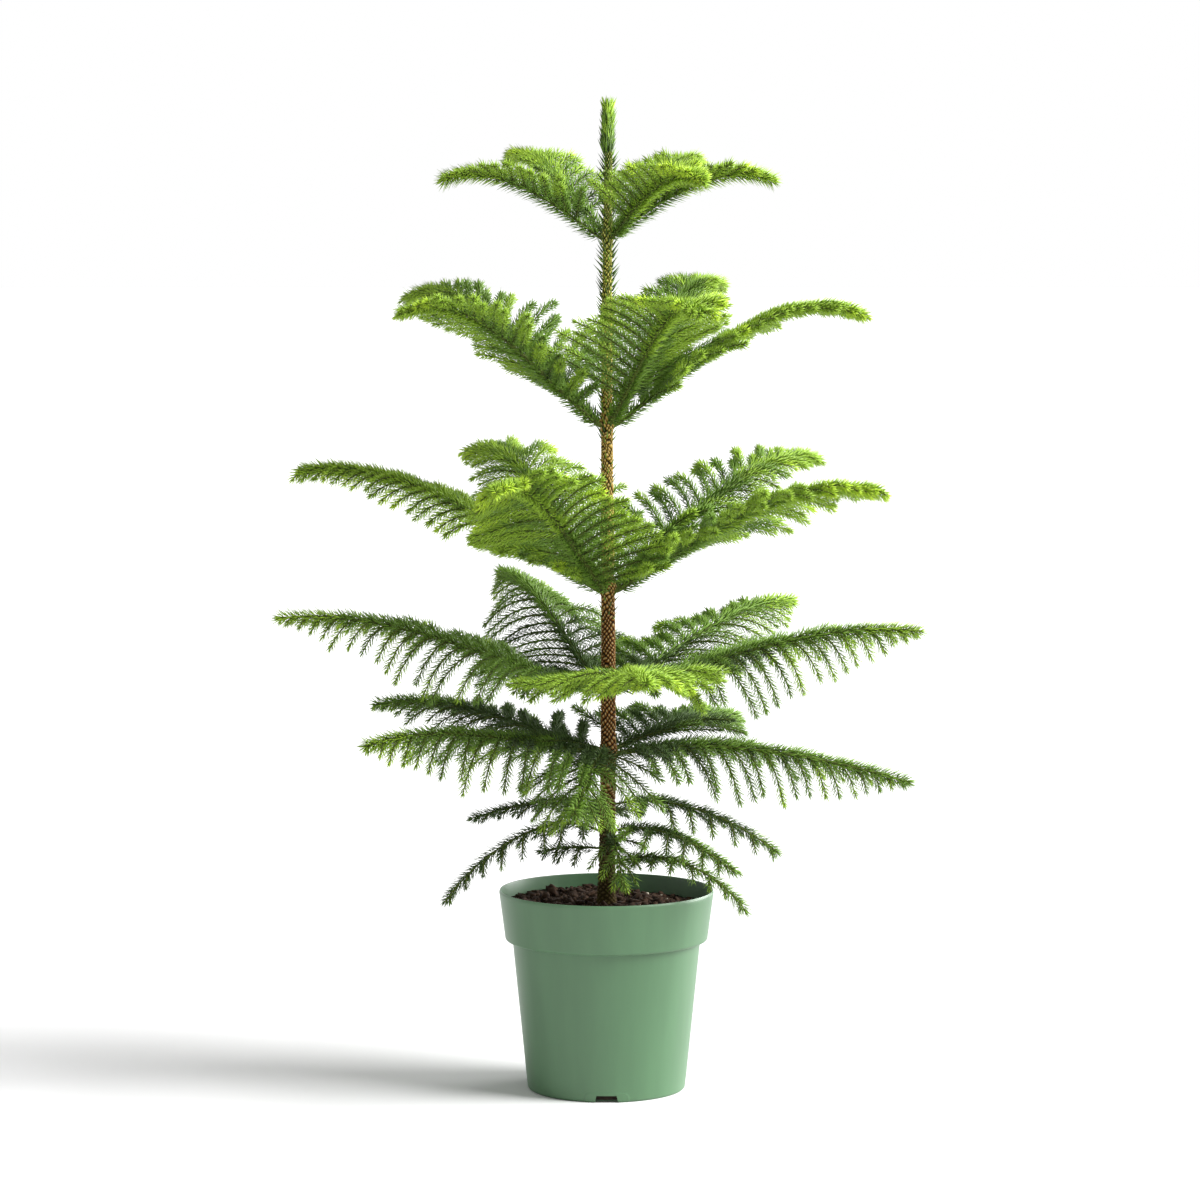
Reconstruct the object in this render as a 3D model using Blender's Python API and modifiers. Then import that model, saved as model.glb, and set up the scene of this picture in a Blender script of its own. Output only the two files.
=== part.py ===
"""Young Norfolk Island pine in its plastic nursery pot.

Metres, +Z up. The origin is the centre of the pot's flat underside.
Azimuths are degrees about +Z, from +X towards +Y.
"""

import math
import random
from collections import namedtuple

import bmesh
import bpy
from mathutils import Matrix, Vector
from mathutils.bvhtree import BVHTree

GAP = 0.0003

# Pot: a 200 mm nursery pot with a deep collar round its rim.
POT_HEIGHT = 0.187
POT_RIM_RADIUS = 0.100
POT_COLLAR_HEIGHT = 0.047
POT_COLLAR_FOOT_RADIUS = 0.0945
POT_BODY_TOP_RADIUS = 0.0876
POT_BASE_RADIUS = 0.0735
POT_WALL = 0.0018
POT_FLOOR = 0.0022
POT_CORNER = 0.0030
POT_COLLAR_CORNER = 0.0030
POT_STEP_SLOPE = 0.0006
POT_SIDES = 36

# Drain notches through the pot's bottom edge.
NOTCH_COUNT = 3
NOTCH_FRONT_AZIMUTH = 270.0
NOTCH_WIDTH_BELOW = 0.0245
NOTCH_WIDTH_ABOVE = 0.0185
NOTCH_HEIGHT = 0.0065
NOTCH_DEPTH = 0.014

# Soil: fills the pot to just under the rim.
SOIL_LEVEL = 0.172
SOIL_EDGE_DROP = 0.003
SOIL_FLAT_RADIUS = 0.030

# Trunk: from the soil to the bud at the top of the leader. Its stations crowd towards the foot.
TRUNK_TOP = 0.872
TRUNK_TIP_RADIUS = 0.0029
TRUNK_FOOT_RADIUS = 0.0070
TRUNK_TAPER_POWER = 0.8
TRUNK_FLARE = 0.0018
TRUNK_FLARE_HEIGHT = 0.020
TRUNK_LEAN = 0.002
TRUNK_SWEEP = 0.0012
TRUNK_STATIONS = 13
TRUNK_CROWDING = 1.4
LEADER_TOP = 0.918
LEADER_STATIONS = 5

# Boughs: each leaves the trunk level, on a short root, and then follows its arch.
BOUGH_ROOT = 0.003
BOUGH_STAGGER = 0.003
LIMB_SPAN = 0.016

# Needles. A core has a triangle of points at each station, and needles stand out of its sides.
CORE_SIDES = 3
CORE_RADIUS = 0.0012
CORE_TAPER = 0.4
NEEDLE_REACH = 0.0086
NEEDLE_LEAN = 0.0090
NEEDLE_TIP_SHARE = 0.55
STEM_SPAN = 0.042

# Twigs. They leave their bough in two ranks, open by TWIG_ANGLE and less towards its tip.
TWIG_PITCH = 0.042
TWIG_FIRST = 0.35
TWIG_ROOT = 0.007
TWIG_ELBOW = 0.62
TWIG_LONG = 0.038
TWIG_ANGLE = 72.0
TWIG_ANGLE_FALL = 26.0
TWIG_ANGLE_SPREAD = 5.0
TWIG_LENGTH_SPREAD = 0.10
TWIG_FIRST_SHARE = 0.75
TWIG_SWELL = 1.6
TWIG_FALL_POWER = 1.6

# A twig that would touch another node is tried at these shares of its length, and then skipped.
TWIG_SHARES = (1.0, 0.78, 0.58)
TWIG_SHORTEST = 0.016
TWIG_CLEARANCE = 0.0007

# Points closer than this are one point.
WELD = 0.000002

Tier = namedtuple("Tier", "name height limb_radius tip_radius bare twig fall start_angle end_angle")
Bough = namedtuple("Bough", "name azimuth reach rise wide lift roll sag")
Skirt = namedtuple("Skirt", "name azimuth height reach rise start_angle end_angle twig lift sag")

# A tier's boughs leave the trunk at one height. bare is the reach of the limb that carries no twigs,
# twig the longest twig, and fall the share that twigs lose towards the bough's tip.
TOP = Tier("top", 0.792, 0.0014, 0.0008, 0.016, 0.047, 0.93, 38.0, -24.0)
UPPER = Tier("upper", 0.620, 0.0022, 0.0010, 0.026, 0.066, 0.86, 36.0, -24.0)
MIDDLE = Tier("middle", 0.467, 0.0026, 0.0011, 0.030, 0.076, 0.84, 31.0, -16.0)
LOWER = Tier("lower", 0.374, 0.0026, 0.0011, 0.050, 0.082, 0.82, 16.0, -18.0)
BOTTOM = Tier("bottom", 0.315, 0.0025, 0.0011, 0.054, 0.080, 0.88, 13.0, -20.0)

# wide is a bough's own share of its tier's twigs. lift is the angle that its twigs rise at, with
# roll added for one rank and taken off for the other; sag bends them down along their length.
BOUGHS = {
    TOP: (
        Bough("left", 190.0, 0.154, 0.052, 1.0, 32.0, 0.0, 0.4),
        Bough("back_left", 125.0, 0.163, 0.068, 1.0, 34.0, 0.0, 0.5),
        Bough("back_right", 53.0, 0.149, 0.067, 1.0, 34.0, 0.0, 0.5),
        Bough("right", 355.0, 0.154, 0.049, 1.0, 30.0, 0.0, 0.4),
        Bough("front", 303.0, 0.155, 0.050, 1.1, 32.0, 0.0, 0.4),
    ),
    UPPER: (
        Bough("left", 208.0, 0.212, 0.103, 1.1, 14.0, -15.0, 0.4),
        Bough("back_left", 150.0, 0.217, 0.114, 1.1, 34.0, 0.0, 0.8),
        Bough("back_right", 62.0, 0.232, 0.121, 1.0, 36.0, 0.0, 0.8),
        Bough("front", 294.0, 0.205, 0.103, 1.4, 24.0, 0.0, 0.5),
        Bough("right", 5.0, 0.238, 0.100, 1.1, 15.0, -10.0, 0.5),
    ),
    MIDDLE: (
        Bough("left", 180.0, 0.288, 0.107, 1.0, 0.0, 16.0, 0.6),
        Bough("back_left", 120.0, 0.262, 0.117, 1.1, 38.0, 0.0, 1.0),
        Bough("front", 247.0, 0.260, 0.106, 1.2, 12.0, -24.0, 0.6),
        Bough("back_right", 42.0, 0.274, 0.108, 1.1, 44.0, 0.0, 1.0),
        Bough("right", 345.0, 0.256, 0.092, 1.2, 8.0, -13.0, 0.6),
    ),
    LOWER: (
        Bough("left", 185.0, 0.306, 0.060, 1.0, -2.0, 12.0, 1.6),
        Bough("back_left", 115.0, 0.250, 0.087, 1.1, 13.0, 0.0, 1.4),
        Bough("front", 274.0, 0.235, 0.028, 1.3, 12.0, 0.0, 1.1),
        Bough("back_right", 45.0, 0.262, 0.056, 1.1, 14.0, 0.0, 1.0),
        Bough("right", 355.0, 0.293, 0.049, 1.0, 0.0, -8.0, 1.8),
    ),
    BOTTOM: (
        Bough("left", 203.0, 0.241, 0.020, 1.1, 0.0, 0.0, 1.5),
        Bough("back_left", 157.0, 0.242, 0.029, 1.0, 8.0, 0.0, 1.0),
        Bough("front", 256.0, 0.135, -0.040, 1.1, 0.0, 0.0, 1.4),
        Bough("back_right", 50.0, 0.205, 0.018, 1.0, 14.0, 0.0, 0.8),
        Bough("right", 350.0, 0.283, -0.025, 1.0, 0.0, 0.0, 2.0),
    ),
}

# Thin sprays low on the trunk, some of them over the pot's rim.
SKIRTS = (
    Skirt("left", 172.0, 0.270, 0.129, -0.019, 8.0, -18.0, 0.034, 0.0, 0.8),
    Skirt("long_left", 207.0, 0.243, 0.167, -0.056, 30.0, -52.0, 0.032, -10.0, 1.6),
    Skirt("low_left", 190.0, 0.226, 0.064, -0.002, 8.0, -12.0, 0.024, -20.0, 1.6),
    Skirt("right", 335.0, 0.268, 0.172, -0.036, 14.0, -34.0, 0.050, 0.0, 1.2),
    Skirt("low_right", 314.0, 0.243, 0.165, -0.022, 18.0, -26.0, 0.044, 0.0, 0.8),
    Skirt("rim_right", 322.0, 0.212, 0.172, -0.036, 26.0, -48.0, 0.024, 0.0, 0.6),
    Skirt("front", 285.0, 0.232, 0.075, -0.034, 20.0, -60.0, 0.024, 0.0, 1.2),
    Skirt("back", 96.0, 0.252, 0.145, -0.020, 16.0, -30.0, 0.040, 0.0, 1.0),
)
SKIRT_BARE = 0.022
SKIRT_FALL = 0.80
SKIRT_PITCH = 0.056
SKIRT_STEM_RADIUS = 0.0011
SKIRT_TIP_RADIUS = 0.0007

Finish = namedtuple("Finish", "name colour roughness")
POT_GREEN = Finish("Sage green polypropylene", (0.130, 0.275, 0.145), 0.48)
POTTING_MIX = Finish("Bark potting mix", (0.030, 0.014, 0.008), 0.95)
TRUNK_BARK = Finish("Scaly trunk bark", (0.140, 0.062, 0.022), 0.85)
BOUGH_BARK = Finish("Green bough bark", (0.075, 0.105, 0.022), 0.80)
DEEP_NEEDLES = Finish("Deep green needles", (0.028, 0.085, 0.012), 0.60)
MID_NEEDLES = Finish("Mid green needles", (0.055, 0.170, 0.016), 0.60)
FRESH_NEEDLES = Finish("Fresh green needles", (0.130, 0.310, 0.020), 0.55)
LIME_NEEDLES = Finish("Lime new needles", (0.230, 0.430, 0.022), 0.55)

MASS_FINISH = {
    ("top", "front"): LIME_NEEDLES,
    ("upper", "left"): LIME_NEEDLES,
    ("upper", "front"): LIME_NEEDLES,
    ("middle", "front"): LIME_NEEDLES,
    ("middle", "right"): FRESH_NEEDLES,
    ("lower", "front"): FRESH_NEEDLES,
    ("bottom", "left"): FRESH_NEEDLES,
    ("lower", "back_left"): DEEP_NEEDLES,
    ("lower", "back_right"): DEEP_NEEDLES,
    ("bottom", "back_left"): DEEP_NEEDLES,
    ("bottom", "back_right"): DEEP_NEEDLES,
}
TIER_FINISH = {
    "top": FRESH_NEEDLES,
    "upper": FRESH_NEEDLES,
    "middle": MID_NEEDLES,
    "lower": MID_NEEDLES,
    "bottom": MID_NEEDLES,
}


def clear_scene():
    for thing in list(bpy.data.objects):
        bpy.data.objects.remove(thing)


def new_collection(name):
    collection = bpy.data.collections.new(name)
    bpy.context.scene.collection.children.link(collection)
    return collection


def material(finish):
    """The Principled material of this finish, made on its first use."""
    found = bpy.data.materials.get(finish.name)
    if found:
        return found
    made = bpy.data.materials.new(finish.name)
    made.use_nodes = True
    shader = made.node_tree.nodes["Principled BSDF"]
    shader.inputs["Base Color"].default_value = (*finish.colour, 1.0)
    shader.inputs["Roughness"].default_value = finish.roughness
    shader.inputs["Metallic"].default_value = 0.0
    return made


def add_object(name, data, collection, finish=None):
    thing = bpy.data.objects.new(name, data)
    collection.objects.link(thing)
    if finish:
        data.materials.append(material(finish))
    return thing


def evaluated_mesh(thing):
    """A new mesh of the object as its modifiers leave it."""
    graph = bpy.context.evaluated_depsgraph_get()
    return bpy.data.meshes.new_from_object(thing.evaluated_get(graph))


def tube(name, points, radii, bevel_resolution, collection, finish):
    """A tapering limb: a curve through the points, made a mesh with its caps welded on."""
    curve = bpy.data.curves.new(name + "_line", "CURVE")
    curve.dimensions = "3D"
    curve.bevel_depth = 1.0
    curve.bevel_resolution = bevel_resolution
    curve.use_fill_caps = True
    spline = curve.splines.new("POLY")
    spline.points.add(len(points) - 1)
    for point, place, radius in zip(spline.points, points, radii):
        point.co = (*place, 1.0)
        point.radius = radius
    line = add_object(name + "_line", curve, collection)
    mesh = evaluated_mesh(line)
    bm = bmesh.new()
    bm.from_mesh(mesh)
    bmesh.ops.remove_doubles(bm, verts=bm.verts, dist=GAP / 30)
    bmesh.ops.recalc_face_normals(bm, faces=bm.faces)
    bm.to_mesh(mesh)
    bm.free()
    limb = add_object(name, mesh, collection, finish)
    limb.matrix_world = line.matrix_world
    bpy.data.objects.remove(line)
    mesh.shade_smooth()
    mesh.set_sharp_from_angle(angle=math.radians(50))
    return limb


def turned(name, profile, sides, collection, finish):
    """A turned shape: the profile, at +X, runs down its outer side and is swept about Z."""
    mesh = bpy.data.meshes.new(name)
    edges = [(i, i + 1) for i in range(len(profile) - 1)]
    mesh.from_pydata([(radius, 0.0, z) for radius, z in profile], edges, [])
    thing = add_object(name, mesh, collection, finish)
    screw = thing.modifiers.new("Turn", "SCREW")
    screw.axis = "Z"
    screw.angle = math.tau
    screw.steps = sides
    screw.render_steps = sides
    screw.use_merge_vertices = True
    screw.merge_threshold = 0.00001
    screw.use_smooth_shade = True
    return thing


def trunk_axis(z):
    """The trunk's centre at height z: a slight lean and one slow sweep."""
    share = (z - SOIL_LEVEL) / (TRUNK_TOP - SOIL_LEVEL)
    sweep = TRUNK_SWEEP * math.sin(math.tau * share)
    return Vector((TRUNK_LEAN * share + sweep, -0.5 * sweep, z))


def trunk_radius(z):
    """The trunk's taper, with a flare at its foot that fades upwards."""
    share = (z - SOIL_LEVEL) / (TRUNK_TOP - SOIL_LEVEL)
    taper = (1.0 - share) ** TRUNK_TAPER_POWER
    flare = TRUNK_FLARE * math.exp(-(z - SOIL_LEVEL) / TRUNK_FLARE_HEIGHT)
    return TRUNK_TIP_RADIUS + (TRUNK_FOOT_RADIUS - TRUNK_TIP_RADIUS) * taper + flare


class Arch:
    """A bough's line: out from the trunk at start_angle, over, and into end_angle at its tip."""

    def __init__(self, height, azimuth, reach, rise, start_angle, end_angle):
        turn = math.radians(azimuth)
        self.out = Vector((math.cos(turn), math.sin(turn), 0.0))
        self.foot = trunk_axis(height)
        self.height = height
        self.root = trunk_radius(height) + GAP
        self.start = Vector((self.root + BOUGH_ROOT, 0.0))
        self.end = Vector((reach, rise))
        chord = (self.end - self.start).length
        self.leave = self.slope(start_angle) * chord
        self.arrive = self.slope(end_angle) * chord

    @staticmethod
    def slope(angle):
        return Vector((math.cos(math.radians(angle)), math.sin(math.radians(angle))))

    def place(self, outward, up):
        return self.foot + self.out * outward + Vector((0.0, 0.0, up))

    def root_point(self):
        return self.place(self.root, 0.0)

    def point(self, t):
        """The Hermite curve from the root to the tip."""
        a = 2 * t**3 - 3 * t**2 + 1
        b = t**3 - 2 * t**2 + t
        c = 3 * t**2 - 2 * t**3
        d = t**3 - t**2
        flat = self.start * a + self.leave * b + self.end * c + self.arrive * d
        return self.place(flat.x, flat.y)

    def tangent(self, t):
        step = 0.001
        return (self.point(min(t + step, 1.0)) - self.point(max(t - step, 0.0))).normalized()

    def outward(self, t):
        return (self.point(t) - self.foot).dot(self.out)

    def at_reach(self, outward):
        """The t at which the line is this far out from the trunk's centre."""
        low, high = 0.0, 1.0
        for _ in range(30):
            middle = (low + high) / 2
            if self.outward(middle) < outward:
                low = middle
            else:
                high = middle
        return low

    def length(self, first, last):
        steps = 20
        marks = [self.point(first + (last - first) * i / steps) for i in range(steps + 1)]
        return sum((b - a).length for a, b in zip(marks, marks[1:]))


def ring(centre, axis, radius, turn):
    """A triangle of points round the core, square to its axis."""
    side = axis.cross(Vector((0.0, 0.0, 1.0)))
    if side.length < 0.05:
        side = axis.cross(Vector((0.0, 1.0, 0.0)))
    side.normalize()
    over = side.cross(axis)
    angles = [math.tau * i / CORE_SIDES + turn for i in range(CORE_SIDES)]
    return [centre + side * (radius * math.cos(a)) + over * (radius * math.sin(a)) for a in angles]


def needled_core(points, radii, needle, root=0.0, bare=0.0, share=1):
    """A slim three-sided core through the points, with a needle drawn out of its side faces.

    Each triangle of points is turned half a step from the last, so the sides between two of them
    are six triangles, and a cone of three closes the tip. Each triangle is poked, and its new
    point is moved out and forward to be a needle. The root is a plain prism at the start. The
    first bare metres have no needles either, and only each share-th face has one.
    """
    bm = bmesh.new()
    points, radii = list(points), list(radii)
    if root:
        along = (points[1] - points[0]).normalized()
        points.insert(1, points[0] + along * root)
        radii.insert(1, radii[0])
    count = len(points) - 1
    axes = [(points[min(i + 1, count)] - points[max(i - 1, 0)]).normalized() for i in range(count + 1)]
    half = math.pi / CORE_SIDES
    first = 1 if root else 0
    if root:
        axes[1] = axes[0]
    rings = []
    for i in range(count):
        turn = half * ((i - first) % 2) if i else 0.0
        rings.append([bm.verts.new(p) for p in ring(points[i], axes[i], radii[i], turn)])
    tip = bm.verts.new(points[count])
    bm.faces.new(list(reversed(rings[0])))
    for j in range(CORE_SIDES if root else 0):
        k = (j + 1) % CORE_SIDES
        bm.faces.new((rings[0][j], rings[0][k], rings[1][k], rings[1][j]))
    needled = []
    walked = root
    for i in range(first, count - 1):
        lower, upper = rings[i], rings[i + 1]
        walked += (points[i + 1] - points[i]).length
        shift = (i - first) % 2
        for j in range(CORE_SIDES):
            k = (j + 1) % CORE_SIDES
            m = (j + shift) % CORE_SIDES
            n = (m + 1) % CORE_SIDES
            pair = (
                bm.faces.new((lower[j], lower[k], upper[m])),
                bm.faces.new((upper[m], lower[k], upper[n])),
            )
            if walked > bare:
                needled += [(face, i) for face in pair[: 2 if share == 1 else 1]]
    last = rings[-1]
    for j in range(CORE_SIDES):
        needled.append((bm.faces.new((last[j], last[(j + 1) % CORE_SIDES], tip)), count - 1))
    for face, i in needled:
        axis = (axes[i] + axes[i + 1]).normalized()
        middle = face.calc_center_median()
        along = (points[i + 1] - points[i]).normalized()
        foot = points[i] + along * (middle - points[i]).dot(along)
        outward = (middle - foot).normalized()
        fine = NEEDLE_TIP_SHARE if i == count - 1 else 1.0
        poked = bmesh.ops.poke(bm, faces=[face])
        poked["verts"][0].co = foot + outward * (needle * fine) + axis * (NEEDLE_LEAN * fine)
    bmesh.ops.recalc_face_normals(bm, faces=bm.faces)
    return bm


def twig_point(base, heading, sag, length, share):
    """The place this share of the way along a twig, whose heading turns down with sag, or up."""
    steps = 12
    place = base.copy()
    for i in range(steps):
        turn = share * (i + 0.5) / steps
        direction = (heading + Vector((0.0, 0.0, -sag * turn))).normalized()
        place += direction * (share * length / steps)
    return place


def tree_of(bm):
    bm.verts.ensure_lookup_table()
    return BVHTree.FromBMesh(bm)


def object_tree(things):
    """One search tree of all these objects' meshes."""
    vertices, faces = [], []
    for thing in things:
        mesh = evaluated_mesh(thing)
        first = len(vertices)
        vertices += [thing.matrix_world @ v.co for v in mesh.vertices]
        faces += [[first + i for i in polygon.vertices] for polygon in mesh.polygons]
        bpy.data.meshes.remove(mesh)
    return BVHTree.FromPolygons(vertices, faces)


def twig_core(base, heading, sag, length, extra=0.0):
    """A twig with its needles; extra fattens it all round."""
    shares = (0.0, TWIG_ELBOW, 1.0) if length > TWIG_LONG else (0.0, 1.0)
    points = [twig_point(base, heading, sag, length, share) for share in shares]
    if extra:
        points[-1] = points[-1] + (points[-1] - points[-2]).normalized() * extra
    thin = [CORE_RADIUS * (1.0 - CORE_TAPER * share) + extra for share in shares]
    return needled_core(points, thin, NEEDLE_REACH + extra, TWIG_ROOT)


def twig_length(u, fall):
    """A twig's share of the longest one, at the share u of the way along its bough."""
    swell = min(1.0, TWIG_FIRST_SHARE + TWIG_SWELL * u)
    return swell * (1.0 - fall * u**TWIG_FALL_POWER)


def grow_twigs(mass, dice, obstacles, workshop):
    """Twigs in two ranks along the bough, each kept only where it has room."""
    arch, sag = mass.arch, mass.sag
    first = max(mass.first, arch.at_reach(SKIRT_BARE))
    length = arch.length(first, 1.0)
    count = max(2, round(length / mass.pitch * 2))
    for i in range(count):
        u = (i + TWIG_FIRST) / (count + TWIG_FIRST)
        t = first + (1.0 - first) * u
        rank = 1 if i % 2 else -1
        along = arch.tangent(t)
        side = along.cross(Vector((0.0, 0.0, 1.0))).normalized() * rank
        over = Vector((0.0, 0.0, 1.0)) - along * along.z
        over.normalize()
        spread = dice.uniform(-TWIG_ANGLE_SPREAD, TWIG_ANGLE_SPREAD)
        open_angle = math.radians(TWIG_ANGLE - TWIG_ANGLE_FALL * u + spread)
        tilt = math.radians(mass.lift + mass.roll * rank + spread)
        out = side * math.cos(tilt) + over * math.sin(tilt)
        heading = along * math.cos(open_angle) + out * math.sin(open_angle)
        varied = 1.0 + dice.uniform(-TWIG_LENGTH_SPREAD, TWIG_LENGTH_SPREAD)
        full = mass.twig * twig_length(u, mass.fall) * varied
        for share in TWIG_SHARES:
            if full * share < TWIG_SHORTEST:
                break
            fat = twig_core(arch.point(t), heading, sag, full * share, TWIG_CLEARANCE)
            touches = obstacles.overlap(tree_of(fat))
            fat.free()
            if touches:
                continue
            bm = twig_core(arch.point(t), heading, sag, full * share)
            mesh = bpy.data.meshes.new("twig")
            bm.to_mesh(mesh)
            bm.free()
            add_object("twig", mesh, workshop)
            break


def stem_mesh(name, arch, first, radius, tip_radius, bare):
    """A mass's stem: the bough's own line, from its limb or the trunk to its furthest tip."""
    count = max(2, round(arch.length(first, 1.0) / STEM_SPAN)) + 1
    points = [arch.point(first + (1.0 - first) * i / (count - 1)) for i in range(count)]
    if first == 0.0:
        points.insert(0, arch.root_point())
        count += 1
    radii = [radius + (tip_radius - radius) * i / (count - 1) for i in range(count)]
    bm = needled_core(points, radii, NEEDLE_REACH, bare=bare, share=2)
    mesh = bpy.data.meshes.new(name)
    bm.to_mesh(mesh)
    bm.free()
    return mesh


def keep_largest_shell(bm):
    """Drop loose scraps and sealed hollows: everything but the shell with the most faces."""
    bm.faces.ensure_lookup_table()
    unseen = set(bm.faces)
    shells = []
    while unseen:
        shell = []
        edge = [unseen.pop()]
        while edge:
            face = edge.pop()
            shell.append(face)
            for near in (f for e in face.edges for f in e.link_faces):
                if near in unseen:
                    unseen.remove(near)
                    edge.append(near)
        shells.append(shell)
    shells.sort(key=len)
    for shell in shells[:-1]:
        bmesh.ops.delete(bm, geom=shell, context="FACES")


def is_closed(bm):
    return bool(bm.edges) and all(len(edge.link_faces) == 2 for edge in bm.edges)


def union_mesh(stem, workshop):
    """The stem and the workshop's twigs as one closed shell, or None where no solver manages it."""
    union = stem.modifiers.new("Join twigs", "BOOLEAN")
    union.operation = "UNION"
    union.operand_type = "COLLECTION"
    union.collection = workshop
    joined = None
    for solver, weld in (("EXACT", WELD), ("EXACT", 0.0), ("MANIFOLD", WELD), ("MANIFOLD", 0.0)):
        union.solver = solver
        mesh = evaluated_mesh(stem)
        bm = bmesh.new()
        bm.from_mesh(mesh)
        if weld:
            bmesh.ops.remove_doubles(bm, verts=bm.verts, dist=weld)
        keep_largest_shell(bm)
        bmesh.ops.triangulate(bm, faces=bm.faces)
        if is_closed(bm):
            bm.to_mesh(mesh)
            joined = mesh
        bm.free()
        if joined:
            break
    stem.modifiers.remove(union)
    return joined


def join_mass(stem, workshop):
    """One Boolean union joins the twigs to the stem; a union that fails is tried with fewer twigs."""
    while workshop.objects:
        mesh = union_mesh(stem, workshop)
        if mesh:
            stem.data = mesh
            break
        bpy.data.objects.remove(workshop.objects[-1])
    for twig in list(workshop.objects):
        bpy.data.objects.remove(twig)


def inner_wall(offset):
    """The pot's inner side from the floor to the rim, moved in by offset."""
    thick = POT_WALL + offset
    collar_foot = POT_HEIGHT - POT_COLLAR_HEIGHT
    return [
        (POT_BASE_RADIUS - thick, POT_FLOOR + offset),
        (POT_BODY_TOP_RADIUS - thick, collar_foot + thick),
        (POT_COLLAR_FOOT_RADIUS - thick, collar_foot + thick + POT_STEP_SLOPE),
        (POT_RIM_RADIUS - thick, POT_HEIGHT),
    ]


def corner(radius, z, size):
    """Three points of a rounded lower outer corner, from its side round to its underside."""
    turns = [math.radians(45 * i) for i in range(3)]
    return [(radius - size * (1 - math.cos(a)), z + size * (1 - math.sin(a))) for a in turns]


def make_pot(parts, cutters):
    """The pot: a thin turned shell, with drain notches cut through its bottom edge."""
    collar_foot = POT_HEIGHT - POT_COLLAR_HEIGHT
    lip = POT_WALL / 3
    inside = inner_wall(0.0)
    inside[-1] = (inside[-1][0], POT_HEIGHT - lip)
    outside = [
        (POT_RIM_RADIUS - POT_WALL + lip, POT_HEIGHT),
        (POT_RIM_RADIUS - lip, POT_HEIGHT),
        (POT_RIM_RADIUS, POT_HEIGHT - lip),
        *corner(POT_COLLAR_FOOT_RADIUS, collar_foot, POT_COLLAR_CORNER),
        (POT_BODY_TOP_RADIUS, collar_foot),
        *corner(POT_BASE_RADIUS, 0.0, POT_CORNER),
    ]
    profile = [(0.0, POT_FLOOR), *inside, *outside, (0.0, 0.0)]
    pot = turned("pot", profile, POT_SIDES, parts, POT_GREEN)
    for i in range(NOTCH_COUNT):
        azimuth = math.radians(NOTCH_FRONT_AZIMUTH + i * 360.0 / NOTCH_COUNT)
        bm = bmesh.new()
        bmesh.ops.create_cube(bm, size=1.0)
        for v in bm.verts:
            width = NOTCH_WIDTH_ABOVE if v.co.z > 0 else NOTCH_WIDTH_BELOW
            v.co.y *= width
            v.co.x *= NOTCH_DEPTH
            v.co.z = NOTCH_HEIGHT if v.co.z > 0 else -NOTCH_HEIGHT
        mesh = bpy.data.meshes.new(f"notch_{i + 1}")
        bm.to_mesh(mesh)
        bm.free()
        cutter = add_object(f"notch_{i + 1}", mesh, cutters)
        out = Vector((math.cos(azimuth), math.sin(azimuth), 0.0)) * POT_BASE_RADIUS
        cutter.matrix_world = Matrix.Translation(out) @ Matrix.Rotation(azimuth, 4, "Z")
        cutter.hide_render = True
        cutter.display_type = "WIRE"
        cut = pot.modifiers.new(f"Notch {i + 1}", "BOOLEAN")
        cut.operation = "DIFFERENCE"
        cut.solver = "EXACT"
        cut.object = cutter
    return pot


def make_soil(parts):
    """The potting mix: a plug that fills the pot, flat under the trunk and lower at its edge."""
    wall = inner_wall(GAP)
    edge = SOIL_LEVEL - SOIL_EDGE_DROP
    low, high = wall[2], wall[3]
    share = (edge - low[1]) / (high[1] - low[1])
    rim = (low[0] + (high[0] - low[0]) * share, edge)
    profile = [
        (0.0, SOIL_LEVEL),
        (SOIL_FLAT_RADIUS, SOIL_LEVEL),
        rim,
        wall[2],
        wall[1],
        wall[0],
        (0.0, wall[0][1]),
    ]
    return turned("soil", profile, POT_SIDES, parts, POTTING_MIX)


def make_trunk(parts):
    """The trunk: a tapering tube with a flat cut at soil level and a flared foot."""
    foot = SOIL_LEVEL + GAP
    shares = [(i / (TRUNK_STATIONS - 1)) ** TRUNK_CROWDING for i in range(TRUNK_STATIONS)]
    heights = [foot + (TRUNK_TOP - foot) * share for share in shares]
    points = [trunk_axis(z) for z in heights]
    points[0].xy = points[1].xy
    return tube("trunk", points, [trunk_radius(z) for z in heights], 3, parts, TRUNK_BARK)


def make_leader(parts):
    """The dense bud at the tip of the leader."""
    foot = trunk_axis(TRUNK_TOP) + Vector((0.0, 0.0, GAP))
    count = LEADER_STATIONS
    points = [foot + Vector((0.0, 0.0, (LEADER_TOP - foot.z) * i / (count - 1))) for i in range(count)]
    radii = [TRUNK_TIP_RADIUS * (1.0 - CORE_TAPER * i / (count - 1)) for i in range(count)]
    bm = needled_core(points, radii, NEEDLE_REACH)
    mesh = bpy.data.meshes.new("foliage_leader")
    bm.to_mesh(mesh)
    bm.free()
    return add_object("foliage_leader", mesh, parts, FRESH_NEEDLES)


def make_limb(name, arch, last, tier, parts):
    """A bough's bare limb, from 0.3 mm off the trunk to where its twigs begin."""
    count = max(3, round(arch.length(0.0, last) / LIMB_SPAN) + 1)
    points = [arch.root_point()] + [arch.point(last * i / (count - 1)) for i in range(count)]
    ends = limb_radius(tier, last)
    radii = [tier.limb_radius + (ends - tier.limb_radius) * i / count for i in range(count + 1)]
    return tube(name, points, radii, 1, parts, BOUGH_BARK)


def limb_radius(tier, t):
    return tier.limb_radius + (tier.tip_radius - tier.limb_radius) * t


Mass = namedtuple("Mass", "stem arch first pitch twig fall lift roll sag")


def start_stem(name, arch, first, radius, tip_radius, bare, parts, finish):
    return add_object(name, stem_mesh(name, arch, first, radius, tip_radius, bare), parts, finish)


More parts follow.
